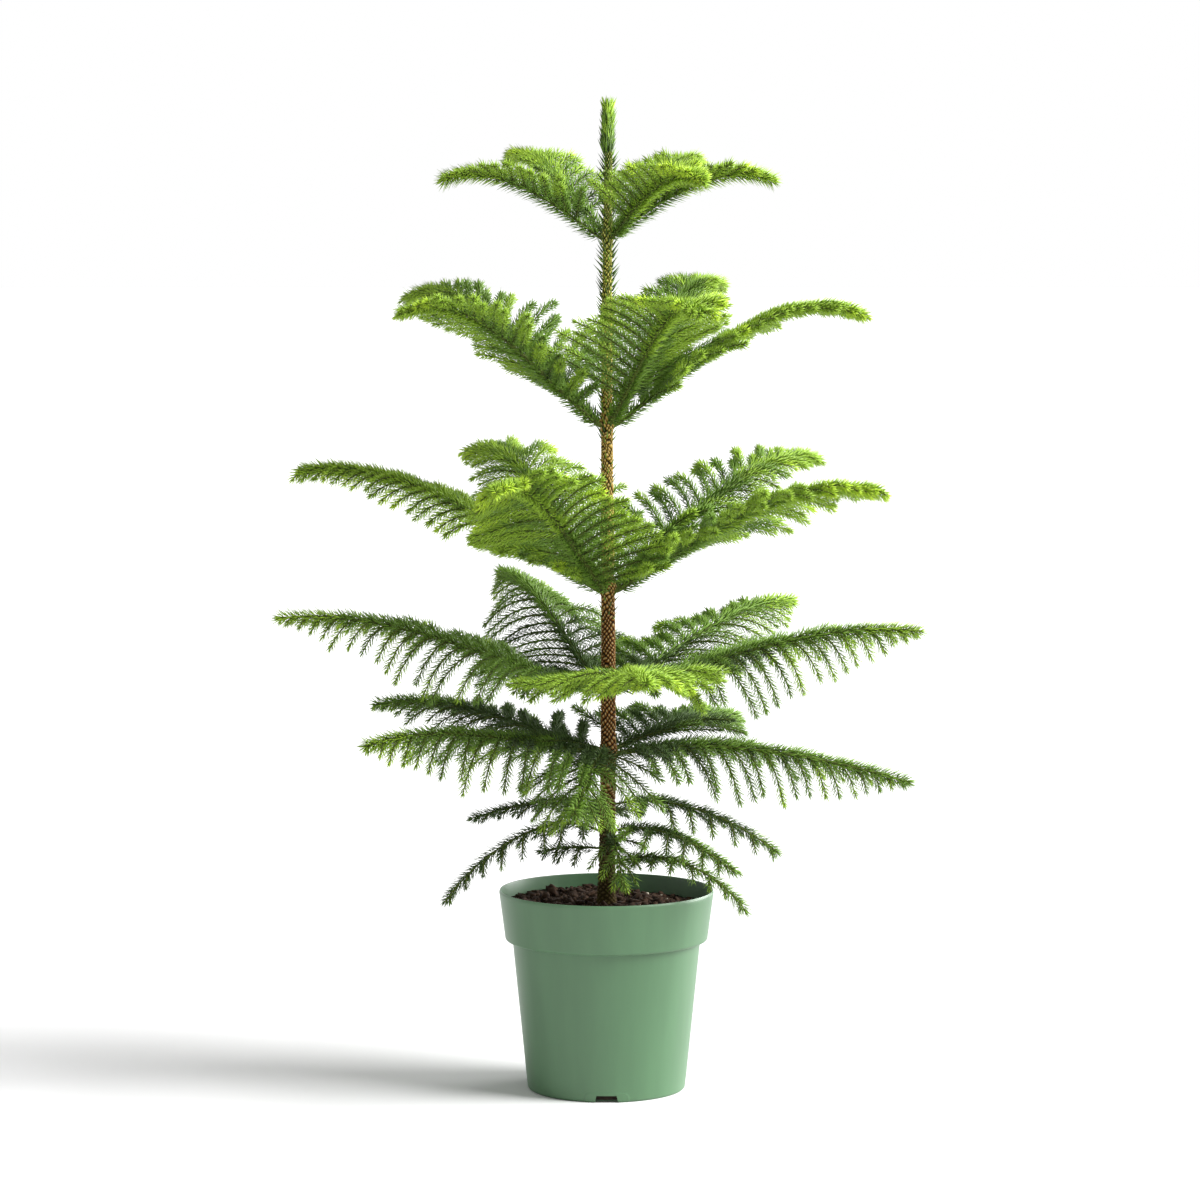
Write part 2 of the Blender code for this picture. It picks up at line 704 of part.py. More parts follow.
def make_tier(tier, parts):
    """The tier's limbs, and the masses whose stems it starts."""
    masses = []
    for i, bough in enumerate(BOUGHS[tier]):
        height = tier.height + BOUGH_STAGGER * (i % 2)
        name = f"{tier.name}_{bough.name}"
        finish = MASS_FINISH.get((tier.name, bough.name), TIER_FINISH[tier.name])
        arch = Arch(height, bough.azimuth, bough.reach, bough.rise, tier.start_angle, tier.end_angle)
        first, bare = 0.0, SKIRT_BARE
        if tier is not TOP and name != "bottom_front":
            last = arch.at_reach(tier.bare)
            make_limb("bough_" + name, arch, last, tier, parts)
            first = last + GAP / arch.length(0.0, 1.0)
            bare = 0.0
        radius = limb_radius(tier, first)
        stem = start_stem("foliage_" + name, arch, first, radius, tier.tip_radius, bare, parts, finish)
        twig = tier.twig * bough.wide
        masses.append(
            Mass(stem, arch, first, TWIG_PITCH, twig, tier.fall, bough.lift, bough.roll, bough.sag)
        )
    return masses


def make_skirt(parts):
    """The stems of the low sprays. These have no limb, and their ranks don't roll."""
    masses = []
    for s in SKIRTS:
        arch = Arch(s.height, s.azimuth, s.reach, s.rise, s.start_angle, s.end_angle)
        name = "foliage_skirt_" + s.name
        stem = start_stem(
            name, arch, 0.0, SKIRT_STEM_RADIUS, SKIRT_TIP_RADIUS, SKIRT_BARE, parts, DEEP_NEEDLES
        )
        masses.append(Mass(stem, arch, 0.0, SKIRT_PITCH, s.twig, SKIRT_FALL, s.lift, 0.0, s.sag))
    return masses


def main():
    clear_scene()
    parts = new_collection("norfolk_island_pine")
    cutters = new_collection("cutters")
    workshop = new_collection("workshop")

    make_pot(parts, cutters)
    make_soil(parts)
    make_trunk(parts)
    make_leader(parts)
    masses = []
    for tier in BOUGHS:
        masses += make_tier(tier, parts)
    masses += make_skirt(parts)

    for number, mass in enumerate(masses):
        dice = random.Random(number)
        obstacles = object_tree([thing for thing in parts.objects if thing is not mass.stem])
        grow_twigs(mass, dice, obstacles, workshop)
        join_mass(mass.stem, workshop)
    bpy.data.collections.remove(workshop)


main()
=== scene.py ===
"""Looks of a young Norfolk Island pine in its green nursery pot.

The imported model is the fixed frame. Each needle mass of it is grown again here by the same rule,
tuned a little further to the photo, with more twigs and with single needles. Metres, +Z up; the
origin is under the middle of the pot.
"""

import math
from collections import namedtuple

import bpy
import numpy as np
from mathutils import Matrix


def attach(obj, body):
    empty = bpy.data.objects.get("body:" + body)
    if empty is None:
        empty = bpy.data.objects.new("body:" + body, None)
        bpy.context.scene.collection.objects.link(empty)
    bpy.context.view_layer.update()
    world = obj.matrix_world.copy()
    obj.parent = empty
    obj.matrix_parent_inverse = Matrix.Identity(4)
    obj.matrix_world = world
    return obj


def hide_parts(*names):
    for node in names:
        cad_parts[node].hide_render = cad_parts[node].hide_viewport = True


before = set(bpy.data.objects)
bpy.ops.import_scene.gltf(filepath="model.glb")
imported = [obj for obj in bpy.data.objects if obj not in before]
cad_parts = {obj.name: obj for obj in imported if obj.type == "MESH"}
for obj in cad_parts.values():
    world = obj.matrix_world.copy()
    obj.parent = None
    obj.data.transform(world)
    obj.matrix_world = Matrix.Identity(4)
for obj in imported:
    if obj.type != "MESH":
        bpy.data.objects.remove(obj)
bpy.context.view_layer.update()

bl_info = {
    "name": "Potted Norfolk Island pine",
    "version": (1, 0, 0),
    "blender": (4, 5, 0),
    "location": "3D View > Sidebar > Pine",
    "description": "Grows the needles, bark, potting mix and pot of a young Norfolk Island pine",
    "category": "Add Mesh",
}

TAU = math.tau
UP = np.array((0.0, 0.0, 1.0))
MM = 0.001
GOLDEN_ANGLE = TAU * (3.0 - math.sqrt(5.0)) / 2.0
BOX_CORNERS = np.array([(x, y, z) for x in (-1, 1) for y in (-1, 1) for z in (-1, 1)], dtype=float)
BOX_SIDES = np.array(((0, 1, 3, 2), (4, 6, 7, 5), (0, 4, 5, 1), (2, 3, 7, 6), (0, 2, 6, 4), (1, 5, 7, 3)))

# Pot sizes, as in the solids.
POT_HEIGHT = 0.187
POT_RIM_RADIUS = 0.100
POT_COLLAR_HEIGHT = 0.047
POT_COLLAR_FOOT_RADIUS = 0.0945
POT_BODY_TOP_RADIUS = 0.0876
POT_BASE_RADIUS = 0.0735
POT_WALL = 0.0018
POT_FLOOR = 0.0022
POT_CORNER = 0.0030
POT_COLLAR_CORNER = 0.0030
POT_STEP_SLOPE = 0.0006
NOTCH_COUNT = 3
NOTCH_FRONT_AZIMUTH = 270.0
NOTCH_WIDTH_BELOW = 0.0245
NOTCH_WIDTH_ABOVE = 0.0185
NOTCH_HEIGHT = 0.0065
NOTCH_DEPTH = 0.014

# Raised panel moulded round each drain notch.
PANEL_WIDTH = 0.043
PANEL_HEIGHT = 0.0092
PANEL_CORNER = 0.0060
PANEL_PROUD = 0.0004
PANEL_EDGE = 0.0010

# The pot's soft lip, the ring round each pole of its mesh, and the finely divided band at its foot.
LIP_BEVEL = 0.0020
POT_POLE_RADIUS = 0.004
POT_LOW_BAND = 0.014

# The pot's painted reflections, tall streaks a shade lighter and darker, are about 17 mm wide and
# eight times as tall, and its grit is 1.4 mm.
POT_REFLECTION_STREAK_WIDTH = 1.0 / 60.0
POT_REFLECTION_STREAK_SQUASH = 0.12
POT_GRIT = 1.4 * MM

# Potting mix.
SOIL_GAP = 0.0003
SOIL_LEVEL = 0.172
SOIL_EDGE_DROP = 0.003
SOIL_FLAT_RADIUS = 0.030
SOIL_LUMP = 0.0024
SOIL_HEAP = 0.0045
CHIPS_OFF_WALL = 0.007

# Trunk and leader, as in the solids.
TRUNK_TOP = 0.872
TRUNK_TIP_RADIUS = 0.0029
TRUNK_FOOT_RADIUS = 0.0070
TRUNK_TAPER_POWER = 0.8
TRUNK_FLARE = 0.0018
TRUNK_FLARE_HEIGHT = 0.020
TRUNK_LEAN = 0.002
TRUNK_SWEEP = 0.0012
LEADER_TOP = 0.918

# Leaf scars: diamonds in upright rows round the trunk, and finer ones along the boughs.
TRUNK_SCAR_ROWS = 9
TRUNK_SCAR_PITCH = 0.0052
TRUNK_SCAR_DEPTH = 0.00135
TRUNK_SCAR_WANDER = 0.30
BOUGH_SCAR_ROWS = 5
BOUGH_SCAR_PITCH = 0.0046
BOUGH_SCAR_DEPTH = 0.00022
WHORL_SWELL = 0.0016
WHORL_HEIGHT = 0.0060
TRUNK_MESH_ROWS = 1000
TRUNK_MESH_COLUMNS = 84
BARK_BLOTCH = 9 * MM

# Old bark at the foot is worn: its grooves are shallow in tone and its flecks are gone. Both come
# back by this share of the trunk's height.
WORN_SHARE = 0.22
FLECK_COLOUR = "#F4E2AE"

# Boughs and twigs, by the rule of the solids. Twigs stand closer here, at each tier's pitch, and
# reaches and angles were tuned a little further to the photo than in the solids.
GAP = 0.0003
BOUGH_ROOT = 0.003
BOUGH_STAGGER = 0.003
SKIRT_BARE = 0.022
SKIRT_PITCH = 0.022
TWIG_FIRST = 0.35
TWIG_ANGLE = 66.0
TWIG_ANGLE_FALL = 28.0
TWIG_ANGLE_SPREAD = 7.0
TWIG_LENGTH_SPREAD = 0.14
TWIG_FIRST_SHARE = 0.90
TWIG_SWELL = 1.6
TWIG_STIFF = 0.50
SKIRT_FALL = 0.80
TWIG_FALL_POWER = 1.6
TWIG_RADIUS = 0.00115
TWIG_TIP_RADIUS = 0.00060
SKIRT_STEM_RADIUS = 0.0011
SKIRT_TIP_RADIUS = 0.0007

Tier = namedtuple("Tier", "name height limb_radius tip_radius bare twig fall start_angle end_angle pitch")
Bough = namedtuple("Bough", "name azimuth reach rise wide lift roll sag tone")
Skirt = namedtuple("Skirt", "name azimuth height reach rise start_angle end_angle twig lift sag tone")

TOP = Tier("top", 0.792, 0.0014, 0.0008, 0.028, 0.045, 0.95, 38.0, -24.0, 0.0106)
UPPER = Tier("upper", 0.620, 0.0022, 0.0010, 0.032, 0.066, 0.86, 36.0, -24.0, 0.0112)
MIDDLE = Tier("middle", 0.467, 0.0026, 0.0011, 0.020, 0.076, 0.82, 31.0, -11.0, 0.0124)
LOWER = Tier("lower", 0.374, 0.0026, 0.0011, 0.018, 0.082, 0.97, 16.0, -6.0, 0.0148)
BOTTOM = Tier("bottom", 0.315, 0.0025, 0.0011, 0.018, 0.080, 0.95, 11.0, -15.0, 0.0146)

# tone is how fresh a mass looks, from 0, the deepest green, to 3, lime new growth. It is partly the
# age of the growth and partly painted shade: in each tier the back masses are given deeper tones
# than the front ones, and the low masses deeper ones still.
BOUGHS = {
    TOP: (
        Bough("left", 190.0, 0.154, 0.052, 1.0, 30.0, 0.0, 0.4, 1.6),
        Bough("back_left", 125.0, 0.163, 0.068, 1.0, 26.0, 0.0, 0.5, 1.7),
        Bough("back_right", 53.0, 0.149, 0.067, 1.0, 26.0, 0.0, 0.5, 1.5),
        Bough("right", 355.0, 0.154, 0.049, 1.0, 30.0, 0.0, 0.4, 1.7),
        Bough("front", 303.0, 0.155, 0.050, 1.1, 32.0, 0.0, 0.4, 2.0),
    ),
    UPPER: (
        Bough("left", 208.0, 0.210, 0.105, 1.1, 7.0, -13.0, 0.4, 1.6),
        Bough("back_left", 150.0, 0.215, 0.110, 1.1, 34.0, 6.0, 0.8, 1.1),
        Bough("back_right", 62.0, 0.228, 0.121, 1.0, 33.0, 0.0, 0.8, 1.2),
        Bough("front", 294.0, 0.205, 0.103, 1.4, 24.0, 0.0, 0.5, 1.7),
        Bough("right", 5.0, 0.238, 0.101, 1.2, 7.0, 6.0, 0.5, 1.7),
    ),
    MIDDLE: (
        Bough("left", 180.0, 0.286, 0.110, 1.0, 6.0, 12.0, 0.8, 1.9),
        Bough("back_left", 120.0, 0.257, 0.115, 1.1, 30.0, 14.0, 1.0, 1.5),
        Bough("front", 247.0, 0.260, 0.106, 1.2, 10.0, -26.0, 0.6, 1.8),
        Bough("back_right", 42.0, 0.270, 0.108, 1.0, 36.0, -12.0, 1.0, 1.4),
        Bough("right", 345.0, 0.255, 0.096, 1.2, 6.0, 14.0, 0.6, 1.8),
    ),
    LOWER: (
        Bough("left", 185.0, 0.306, 0.069, 1.15, 8.0, 22.0, 1.5, 1.3),
        Bough("back_left", 115.0, 0.250, 0.087, 1.25, 4.0, 12.0, 1.4, 0.9),
        Bough("front", 278.0, 0.235, 0.030, 1.3, 12.0, -4.0, 0.8, 1.7),
        Bough("back_right", 45.0, 0.254, 0.064, 1.1, 12.0, -8.0, 1.0, 1.1),
        Bough("right", 355.0, 0.289, 0.057, 1.2, 8.0, -24.0, 1.7, 1.3),
    ),
    BOTTOM: (
        Bough("left", 203.0, 0.241, 0.018, 1.2, 2.0, 20.0, 1.6, 1.3),
        Bough("back_left", 157.0, 0.240, 0.031, 1.0, 12.0, 8.0, 1.0, 0.4),
        Bough("front", 256.0, 0.135, -0.040, 1.1, 0.0, 0.0, 1.4, 0.9),
        Bough("back_right", 50.0, 0.190, 0.014, 1.1, 20.0, -6.0, 0.8, 0.6),
        Bough("right", 350.0, 0.281, -0.021, 1.0, 8.0, -24.0, 2.0, 1.0),
    ),
}
SKIRTS = (
    Skirt("left", 172.0, 0.270, 0.129, -0.019, 8.0, -18.0, 0.034, 0.0, 0.8, -0.6),
    Skirt("long_left", 207.0, 0.243, 0.167, -0.056, 30.0, -52.0, 0.032, -10.0, 1.6, -0.2),
    Skirt("low_left", 190.0, 0.226, 0.064, -0.002, 8.0, -12.0, 0.024, -20.0, 1.6, -0.6),
    Skirt("right", 335.0, 0.268, 0.172, -0.036, 14.0, -34.0, 0.050, 0.0, 1.2, 0.2),
    Skirt("low_right", 314.0, 0.243, 0.165, -0.022, 18.0, -26.0, 0.044, 0.0, 0.8, 0.4),
    Skirt("rim_right", 322.0, 0.212, 0.160, -0.030, 26.0, -48.0, 0.026, 0.0, 1.0, 1.0),
    Skirt("front", 280.0, 0.236, 0.080, -0.036, 20.0, -60.0, 0.036, 0.0, 1.6, 0.8),
    Skirt("back", 96.0, 0.252, 0.145, -0.020, 16.0, -30.0, 0.040, 0.0, 1.0, 0.0),
)

# Needles: length, width, lean from the stem they stand on, bend forward at the shoulders, and how
# many stand on a metre of stem.
Needles = namedtuple("Needles", "length width lean curl per_metre")
TWIG_NEEDLES = Needles(0.0100, 0.00135, 56.0, 16.0, 2500.0)
LOW_TWIG_NEEDLES = Needles(0.0100, 0.00130, 57.0, 10.0, 2300.0)
SKIRT_TWIG_NEEDLES = Needles(0.0090, 0.00125, 56.0, 10.0, 2100.0)
SKIRT_STEM_NEEDLES = Needles(0.0110, 0.00135, 60.0, 12.0, 2600.0)
STEM_NEEDLES = Needles(0.0128, 0.00160, 64.0, 18.0, 3000.0)
LOW_STEM_NEEDLES = Needles(0.0125, 0.00150, 62.0, 14.0, 3000.0)
TRUNK_NEEDLES = Needles(0.0135, 0.00150, 66.0, 32.0, 1300.0)
OLD_TRUNK_NEEDLES = Needles(0.0115, 0.00140, 70.0, 30.0, 620.0)
LEADER_NEEDLES = Needles(0.0138, 0.00165, 52.0, 36.0, 7400.0)
NEEDLE_LENGTH_SPREAD = 0.14
NEEDLE_TIP_SHARE = 0.62
NEEDLE_SHOULDER = 0.28
NEEDLE_POINTS = 4

# The trunk's needles, from and to these heights, and how far the bud stands to the trunk's left.
TRUNK_NEEDLE_SPANS = ((0.600, TRUNK_TOP, TRUNK_NEEDLES), (0.430, 0.600, OLD_TRUNK_NEEDLES))
LEADER_LEAN = 0.0012

# Masses of these tiers have short and sparse needles, unless their tone reaches FULL_TONE.
LOW_TIERS = ("lower", "bottom")
FULL_TONE = 1.5

# How much fresher a bough's last twig is than its first, how much twigs vary, and how much fresher
# needles are past each of these shares of their twig. The fresh tips are new growth; the deeper tone
# near the trunk and at each twig's root is partly older needles and partly painted shade inside the crown.
TONES = ("deep", "mid", "fresh", "lime")
TONE_ALONG_BOUGH = 1.1
TONE_SPREAD = 0.28
TONE_ALONG_TWIG = ((0.66, 0.45), (0.3, 0.05), (0.0, -0.4))

PHOTO_FOCAL_LENGTH = 130.0
PHOTO_SENSOR = 36.0
PHOTO_PLACE = (-0.006, -4.0, 0.82)
PHOTO_PITCH = 5.175

# Where the key and edge lights stand, and how wide both look from the plant, in degrees.
KEY_AZIMUTH = -14.0
KEY_ELEVATION = 38.0
EDGE_AZIMUTH = 30.0
EDGE_ELEVATION = 7.0
LIGHT_SOFTNESS = 38.0
FLOOR_HALF = 40.0


def linear(hex_colour):
    """An sRGB hex colour as linear red, green and blue."""
    values = [int(hex_colour[i : i + 2], 16) / 255.0 for i in (1, 3, 5)]
    return tuple(v / 12.92 if v <= 0.04045 else ((v + 0.055) / 1.055) ** 2.4 for v in values)


def colour_property(name, description, hex_colour):
    return bpy.props.FloatVectorProperty(
        name=name,
        description=description,
        subtype="COLOR",
        size=3,
        min=0.0,
        max=1.0,
        default=linear(hex_colour),
    )


def number_property(name, description, default, **limits):
    return bpy.props.FloatProperty(name=name, description=description, default=default, **limits)


class PineNeedleSettings(bpy.types.PropertyGroup):
    """Colours of the needles, and how thick and how many they are."""

    # The deep green is partly old needles and partly painted shade inside and low in the crown.
    deep: colour_property("Deep green", "Old needles and painted shade inside and low in the crown", "#4A642B")
    mid: colour_property("Mid green", "Most of the needles", "#709430")
    fresh: colour_property("Fresh green", "Younger needles towards the tips", "#98BC36")
    lime: colour_property("Lime green", "This year's growth", "#BCDE3A")
    thickness: number_property("Thickness", "Needle width, as a share of the usual", 1.0, min=0.3, max=3.0)
    density: number_property("Density", "Needles on each twig, as a share of the usual", 1.0, min=0.2, max=1.2)


class PineBarkSettings(bpy.types.PropertyGroup):
    """Colours of the trunk from its leader to its foot, and of the boughs."""

    leader: colour_property("Leader", "Green stem under the bud", "#8FA53A")
    upper: colour_property("Upper trunk", "Olive stem between the top whorls", "#EBE35C")
    golden: colour_property("Middle trunk", "Golden scales", "#D2AA4C")
    rusty: colour_property("Lower trunk", "Red-brown scales", "#9A5C1C")
    foot: colour_property("Foot", "Old olive-brown bark", "#544524")
    bough: colour_property("Boughs", "Green skin of boughs and twigs", "#5E6B2C")


class PinePotSettings(bpy.types.PropertyGroup):
    """Colours of the pot and of what fills it."""

    pot: colour_property("Pot", "Sage green plastic", "#4B704D")
    mix: colour_property("Potting mix", "Damp composted bark", "#251B14")
    chip: colour_property("Bark chips", "Chips on top of the mix", "#3C2A1D")
    grain: colour_property("Grains", "Pale mineral grains", "#C9C0AE")


class PineStageSettings(bpy.types.PropertyGroup):
    """The floor and the light."""

    floor: colour_property("Floor", "Plain pale floor", "#F8F8F8")
    key: number_property("Key light", "Strength of the soft light from the right", 5.3, min=0.0)
    edge: number_property("Edge light", "Strength of the soft light from the right and behind", 3.6, min=0.0)
    sky: number_property("Surroundings", "Strength of the white surroundings", 0.35, min=0.0)


def unit(v):
    return v / np.linalg.norm(v, axis=-1, keepdims=True)


def smoothstep(low, high, x):
    """0 below low, 1 above high, and 3s^2 - 2s^3 between them."""
    s = np.clip((x - low) / (high - low), 0.0, 1.0)
    return s * s * (3.0 - 2.0 * s)


def waves(x, y, size, seed, count=7):
    """Rough ground: the mean of count sine waves of about this size, in seeded directions."""
    dice = np.random.default_rng(seed)
    turn = dice.uniform(0.0, TAU, (count, 3))
    step = TAU / (size * dice.uniform(0.7, 1.6, count))
    total = 0.0
    for (way, phase, _), k in zip(turn, step):
        total = total + np.sin(k * (x * math.cos(way) + y * math.sin(way)) + phase)
    return total / math.sqrt(count)


def mesh_object(name, points, faces, material, smooth=True, attributes=()):
    """A mesh of the points and of arrays of faces, each array with one number of corners."""
    mesh = bpy.data.meshes.new(name)
    points = np.asarray(points, dtype=np.float32).reshape(-1, 3)
    corners = np.concatenate([f.ravel() for f in faces]).astype(np.int32)
    sizes = np.concatenate([np.full(len(f), f.shape[1]) for f in faces])
    starts = np.concatenate(([0], np.cumsum(sizes)[:-1])).astype(np.int32)
    mesh.vertices.add(len(points))
    mesh.vertices.foreach_set("co", points.ravel())
    mesh.loops.add(len(corners))
    mesh.loops.foreach_set("vertex_index", corners)
    mesh.polygons.add(len(sizes))
    mesh.polygons.foreach_set("loop_start", starts)
    mesh.update(calc_edges=True)
    for label, values in attributes:
        attribute = mesh.attributes.new(label, "FLOAT", "POINT")
        attribute.data.foreach_set("value", np.asarray(values, dtype=np.float32).ravel())
    mesh.materials.append(material)
    if smooth:
        mesh.shade_smooth()
    thing = bpy.data.objects.new(name, mesh)
    bpy.context.scene.collection.objects.link(thing)
    return thing


def dress(thing, slot, *nodes):
    """The piece rides on the one body and stands for these nodes; slot is not used."""
    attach(thing, "root")
    if nodes:
        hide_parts(*nodes)
    return thing


def nodes_named(start):
    return sorted(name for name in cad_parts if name.startswith(start))


def add_node(tree, kind, settings=None, **links):
    """A node of this kind, with its settings, and each named input linked or set."""
    node = tree.nodes.new(kind)
    for key, value in (settings or {}).items():
        setattr(node, key, value)
    for key, value in links.items():
        socket = node.inputs[int(key[1:])] if key[0] == "i" and key[1:].isdigit() else node.inputs[key]
        if isinstance(value, bpy.types.NodeSocket):
            tree.links.new(value, socket)
        else:
            socket.default_value = value
    return node


def new_material(name, roughness, specular=0.5):
    """A material with one Principled shader, and its tree and shader."""
    material = bpy.data.materials.new(name)
    material.use_nodes = True
    shader = material.node_tree.nodes["Principled BSDF"]
    shader.inputs["Roughness"].default_value = roughness
    shader.inputs["Specular IOR Level"].default_value = specular
    return material, material.node_tree, shader


def rgba(colour):
    return (*colour, 1.0)


def mottle(tree, shader, where, size, detail, colour, low, high):
    """Colours the shader by soft noise of about this size, and returns the noise.

    low and high each give a place on the noise and the share of the colour that shows there.
    """
    noise = add_node(tree, "ShaderNodeTexNoise", Vector=where, Scale=1.0 / size, Detail=detail).outputs["Fac"]
    ramp = add_node(tree, "ShaderNodeValToRGB", Fac=noise)
    for element, (place, share) in zip(ramp.color_ramp.elements, (low, high)):
        element.position = place
        element.color = rgba(np.minimum(np.array(colour) * share, 1.0))
    tree.links.new(ramp.outputs["Color"], shader.inputs["Base Color"])
    return noise


def needle_material(name, colour, roughness):
    """Living needle, waxy and a little translucent, drawn as a plain opaque green with a soft broad gloss."""
    material, _, shader = new_material(name, roughness, 0.35)
    shader.inputs["Base Color"].default_value = rgba(colour)
    return material


def grid_quads(index):
    """Quads of a batch of grids closed round their last axis; rows run along, columns turn anticlockwise."""
    a = index[..., :-1, :]
    d = index[..., 1:, :]
    b = np.roll(a, -1, axis=-1)
    c = np.roll(d, -1, axis=-1)
    return np.stack((a, b, c, d), axis=-1).reshape(-1, 4)


def fan(pole, ring, after):
    """Triangles from a pole to each point of its ring and the point after that."""
    return np.stack(np.broadcast_arrays(pole, ring, after), axis=-1).reshape(-1, 3)


def path_frames(paths):
    """Tangents along each path, and two directions square to them.

    side is square to the upright plane of the path's chord, and over = side x tangent.
    """
    step = np.empty_like(paths)
    step[:, 1:-1] = paths[:, 2:] - paths[:, :-2]
    step[:, 0] = paths[:, 1] - paths[:, 0]
    step[:, -1] = paths[:, -1] - paths[:, -2]
    along = unit(step)
    chord = unit(paths[:, -1] - paths[:, 0])
    side = np.cross(chord, UP)
    flat = np.linalg.norm(side, axis=-1) < 0.02
    side[flat] = (1.0, 0.0, 0.0)
    side = unit(side)[:, None, :]
    side = unit(side - along * np.sum(side * along, axis=-1, keepdims=True))
    over = np.cross(side, along)
    return along, side, over


def tubes(paths, radii, sides, relief=None):
    """Round tubes along the paths: p + r (side cos a + over sin a), closed to a point at each end."""
    along, side, over = path_frames(paths)
    count, rows, _ = paths.shape
    turn = -TAU * np.arange(sides) / sides
    ring = side[:, :, None] * np.cos(turn)[:, None] + over[:, :, None] * np.sin(turn)[:, None]
    reach = np.broadcast_to(radii[..., None], (count, rows, sides))
    if relief is not None:
        reach = reach + relief
    points = paths[:, :, None] + ring * reach[..., None]
    index = np.arange(count * rows * sides).reshape(count, rows, sides)
    first = count * rows * sides + np.arange(count)
    last = first + count
    near = fan(first[:, None], np.roll(index[:, 0], -1, 1), index[:, 0])
    far = fan(last[:, None], index[:, -1], np.roll(index[:, -1], -1, 1))
    ends = np.concatenate((paths[:, 0], paths[:, -1] + along[:, -1] * radii[:, -1:]))
    return np.concatenate((points.reshape(-1, 3), ends)), [grid_quads(index), near, far]


def merge(batches):
    """Several (points, faces) made one, with quads and triangles kept apart."""
    points, quads, triangles = [], [], []
    start = 0
    for part_points, part_faces in batches:
        points.append(part_points)
        for f in part_faces:
            (quads if f.shape[1] == 4 else triangles).append(f + start)
        start += len(part_points)
    faces = [np.concatenate(group) for group in (quads, triangles) if group]
    return np.concatenate(points), faces


def along_paths(paths, owner, share):
    """Points, tangents, side and over at this share of the way along each owner path."""
    along, side, over = path_frames(paths)
    place = share * (paths.shape[1] - 1)
    i = np.clip(place.astype(int), 0, paths.shape[1] - 2)
    part = (place - i)[:, None]

    def mixed(values):
        return values[owner, i] * (1.0 - part) + values[owner, i + 1] * part

    return mixed(paths), unit(mixed(along)), unit(mixed(side)), unit(mixed(over))


def needle_cloud(paths, radii, kind, dice, settings, start=0.0):
    """Needles set in a golden-angle spiral along the paths, from the share start of each one.

    Needle k of n stands at share (k + 1/2) / n and turn k times the golden angle. It leaves at
    the lean angle, bends forward by curl at its two shoulders, its widest place, and comes to a
    point. Returns points, and each needle's path and share.
    """
    length = np.linalg.norm(np.diff(paths, axis=1), axis=-1).sum(axis=1) * (1.0 - start)
    counts = np.maximum(4, np.round(length * kind.per_metre * settings.density)).astype(int)
    owner = np.repeat(np.arange(len(paths)), counts)
    first = np.repeat(np.cumsum(counts) - counts, counts)
    k = np.arange(counts.sum()) - first
    share = (k + 0.5) / counts[owner]
    place = start + (1.0 - start) * share
    foot, along, side, over = along_paths(paths, owner, place)
    turn = k * GOLDEN_ANGLE + dice.uniform(0.0, TAU, len(paths))[owner] + dice.uniform(-0.25, 0.25, len(k))
    out = side * np.cos(turn)[:, None] + over * np.sin(turn)[:, None]
    left = counts[owner] - k
    near_tip = smoothstep(0.0, 14.0, left)
    near_root = smoothstep(-4.0, 8.0, k)
    spread = 1.0 + dice.uniform(-NEEDLE_LENGTH_SPREAD, NEEDLE_LENGTH_SPREAD, len(k))
    long = kind.length * (NEEDLE_TIP_SHARE + (1.0 - NEEDLE_TIP_SHARE) * near_tip) * near_root * spread
    lean = np.radians(kind.lean * (0.42 + 0.58 * near_tip) + dice.uniform(-7.0, 7.0, len(k)))
    bent = lean - np.radians(kind.curl)
    leave = along * np.cos(lean)[:, None] + out * np.sin(lean)[:, None]
    arrive = along * np.cos(bent)[:, None] + out * np.sin(bent)[:, None]
    across = unit(np.cross(along, out))
    i = np.clip((place * (paths.shape[1] - 1)).astype(int), 0, paths.shape[1] - 2)
    root = foot + out * (radii[owner, i] * 0.6)[:, None]
    bend = root + leave * (NEEDLE_SHOULDER * long)[:, None]
    tip = bend + arrive * ((1.0 - NEEDLE_SHOULDER) * long)[:, None]
    half = kind.width * settings.thickness / 2
    return np.stack((root, bend + across * half, bend - across * half, tip), axis=1), owner, share


def needle_faces(count):
    """Faces of count needles: two from the root to the shoulders and two on to the point."""
    base = (np.arange(count) * NEEDLE_POINTS)[:, None, None]
    faces = np.array(((0, 1, 2), (0, 3, 1), (0, 2, 3), (1, 3, 2)))
    return [(base + faces).reshape(-1, 3)]


def trunk_axis(z):
    """The trunk's centre at heights z: a slight lean and one slow sweep."""
    share = (z - SOIL_LEVEL) / (TRUNK_TOP - SOIL_LEVEL)
    sweep = TRUNK_SWEEP * np.sin(TAU * share)
    return np.stack((TRUNK_LEAN * share + sweep, -0.5 * sweep, z), axis=-1)


def trunk_radius(z):
    """The trunk's taper, with a flare at its foot that fades upwards."""
    share = np.clip((z - SOIL_LEVEL) / (TRUNK_TOP - SOIL_LEVEL), 0.0, 1.0)
    taper = (1.0 - share) ** TRUNK_TAPER_POWER
    flare = TRUNK_FLARE * np.exp(-np.maximum(z - SOIL_LEVEL, 0.0) / TRUNK_FLARE_HEIGHT)
    return TRUNK_TIP_RADIUS + (TRUNK_FOOT_RADIUS - TRUNK_TIP_RADIUS) * taper + flare


def slope(angle):
    return np.array((math.cos(math.radians(angle)), math.sin(math.radians(angle))))


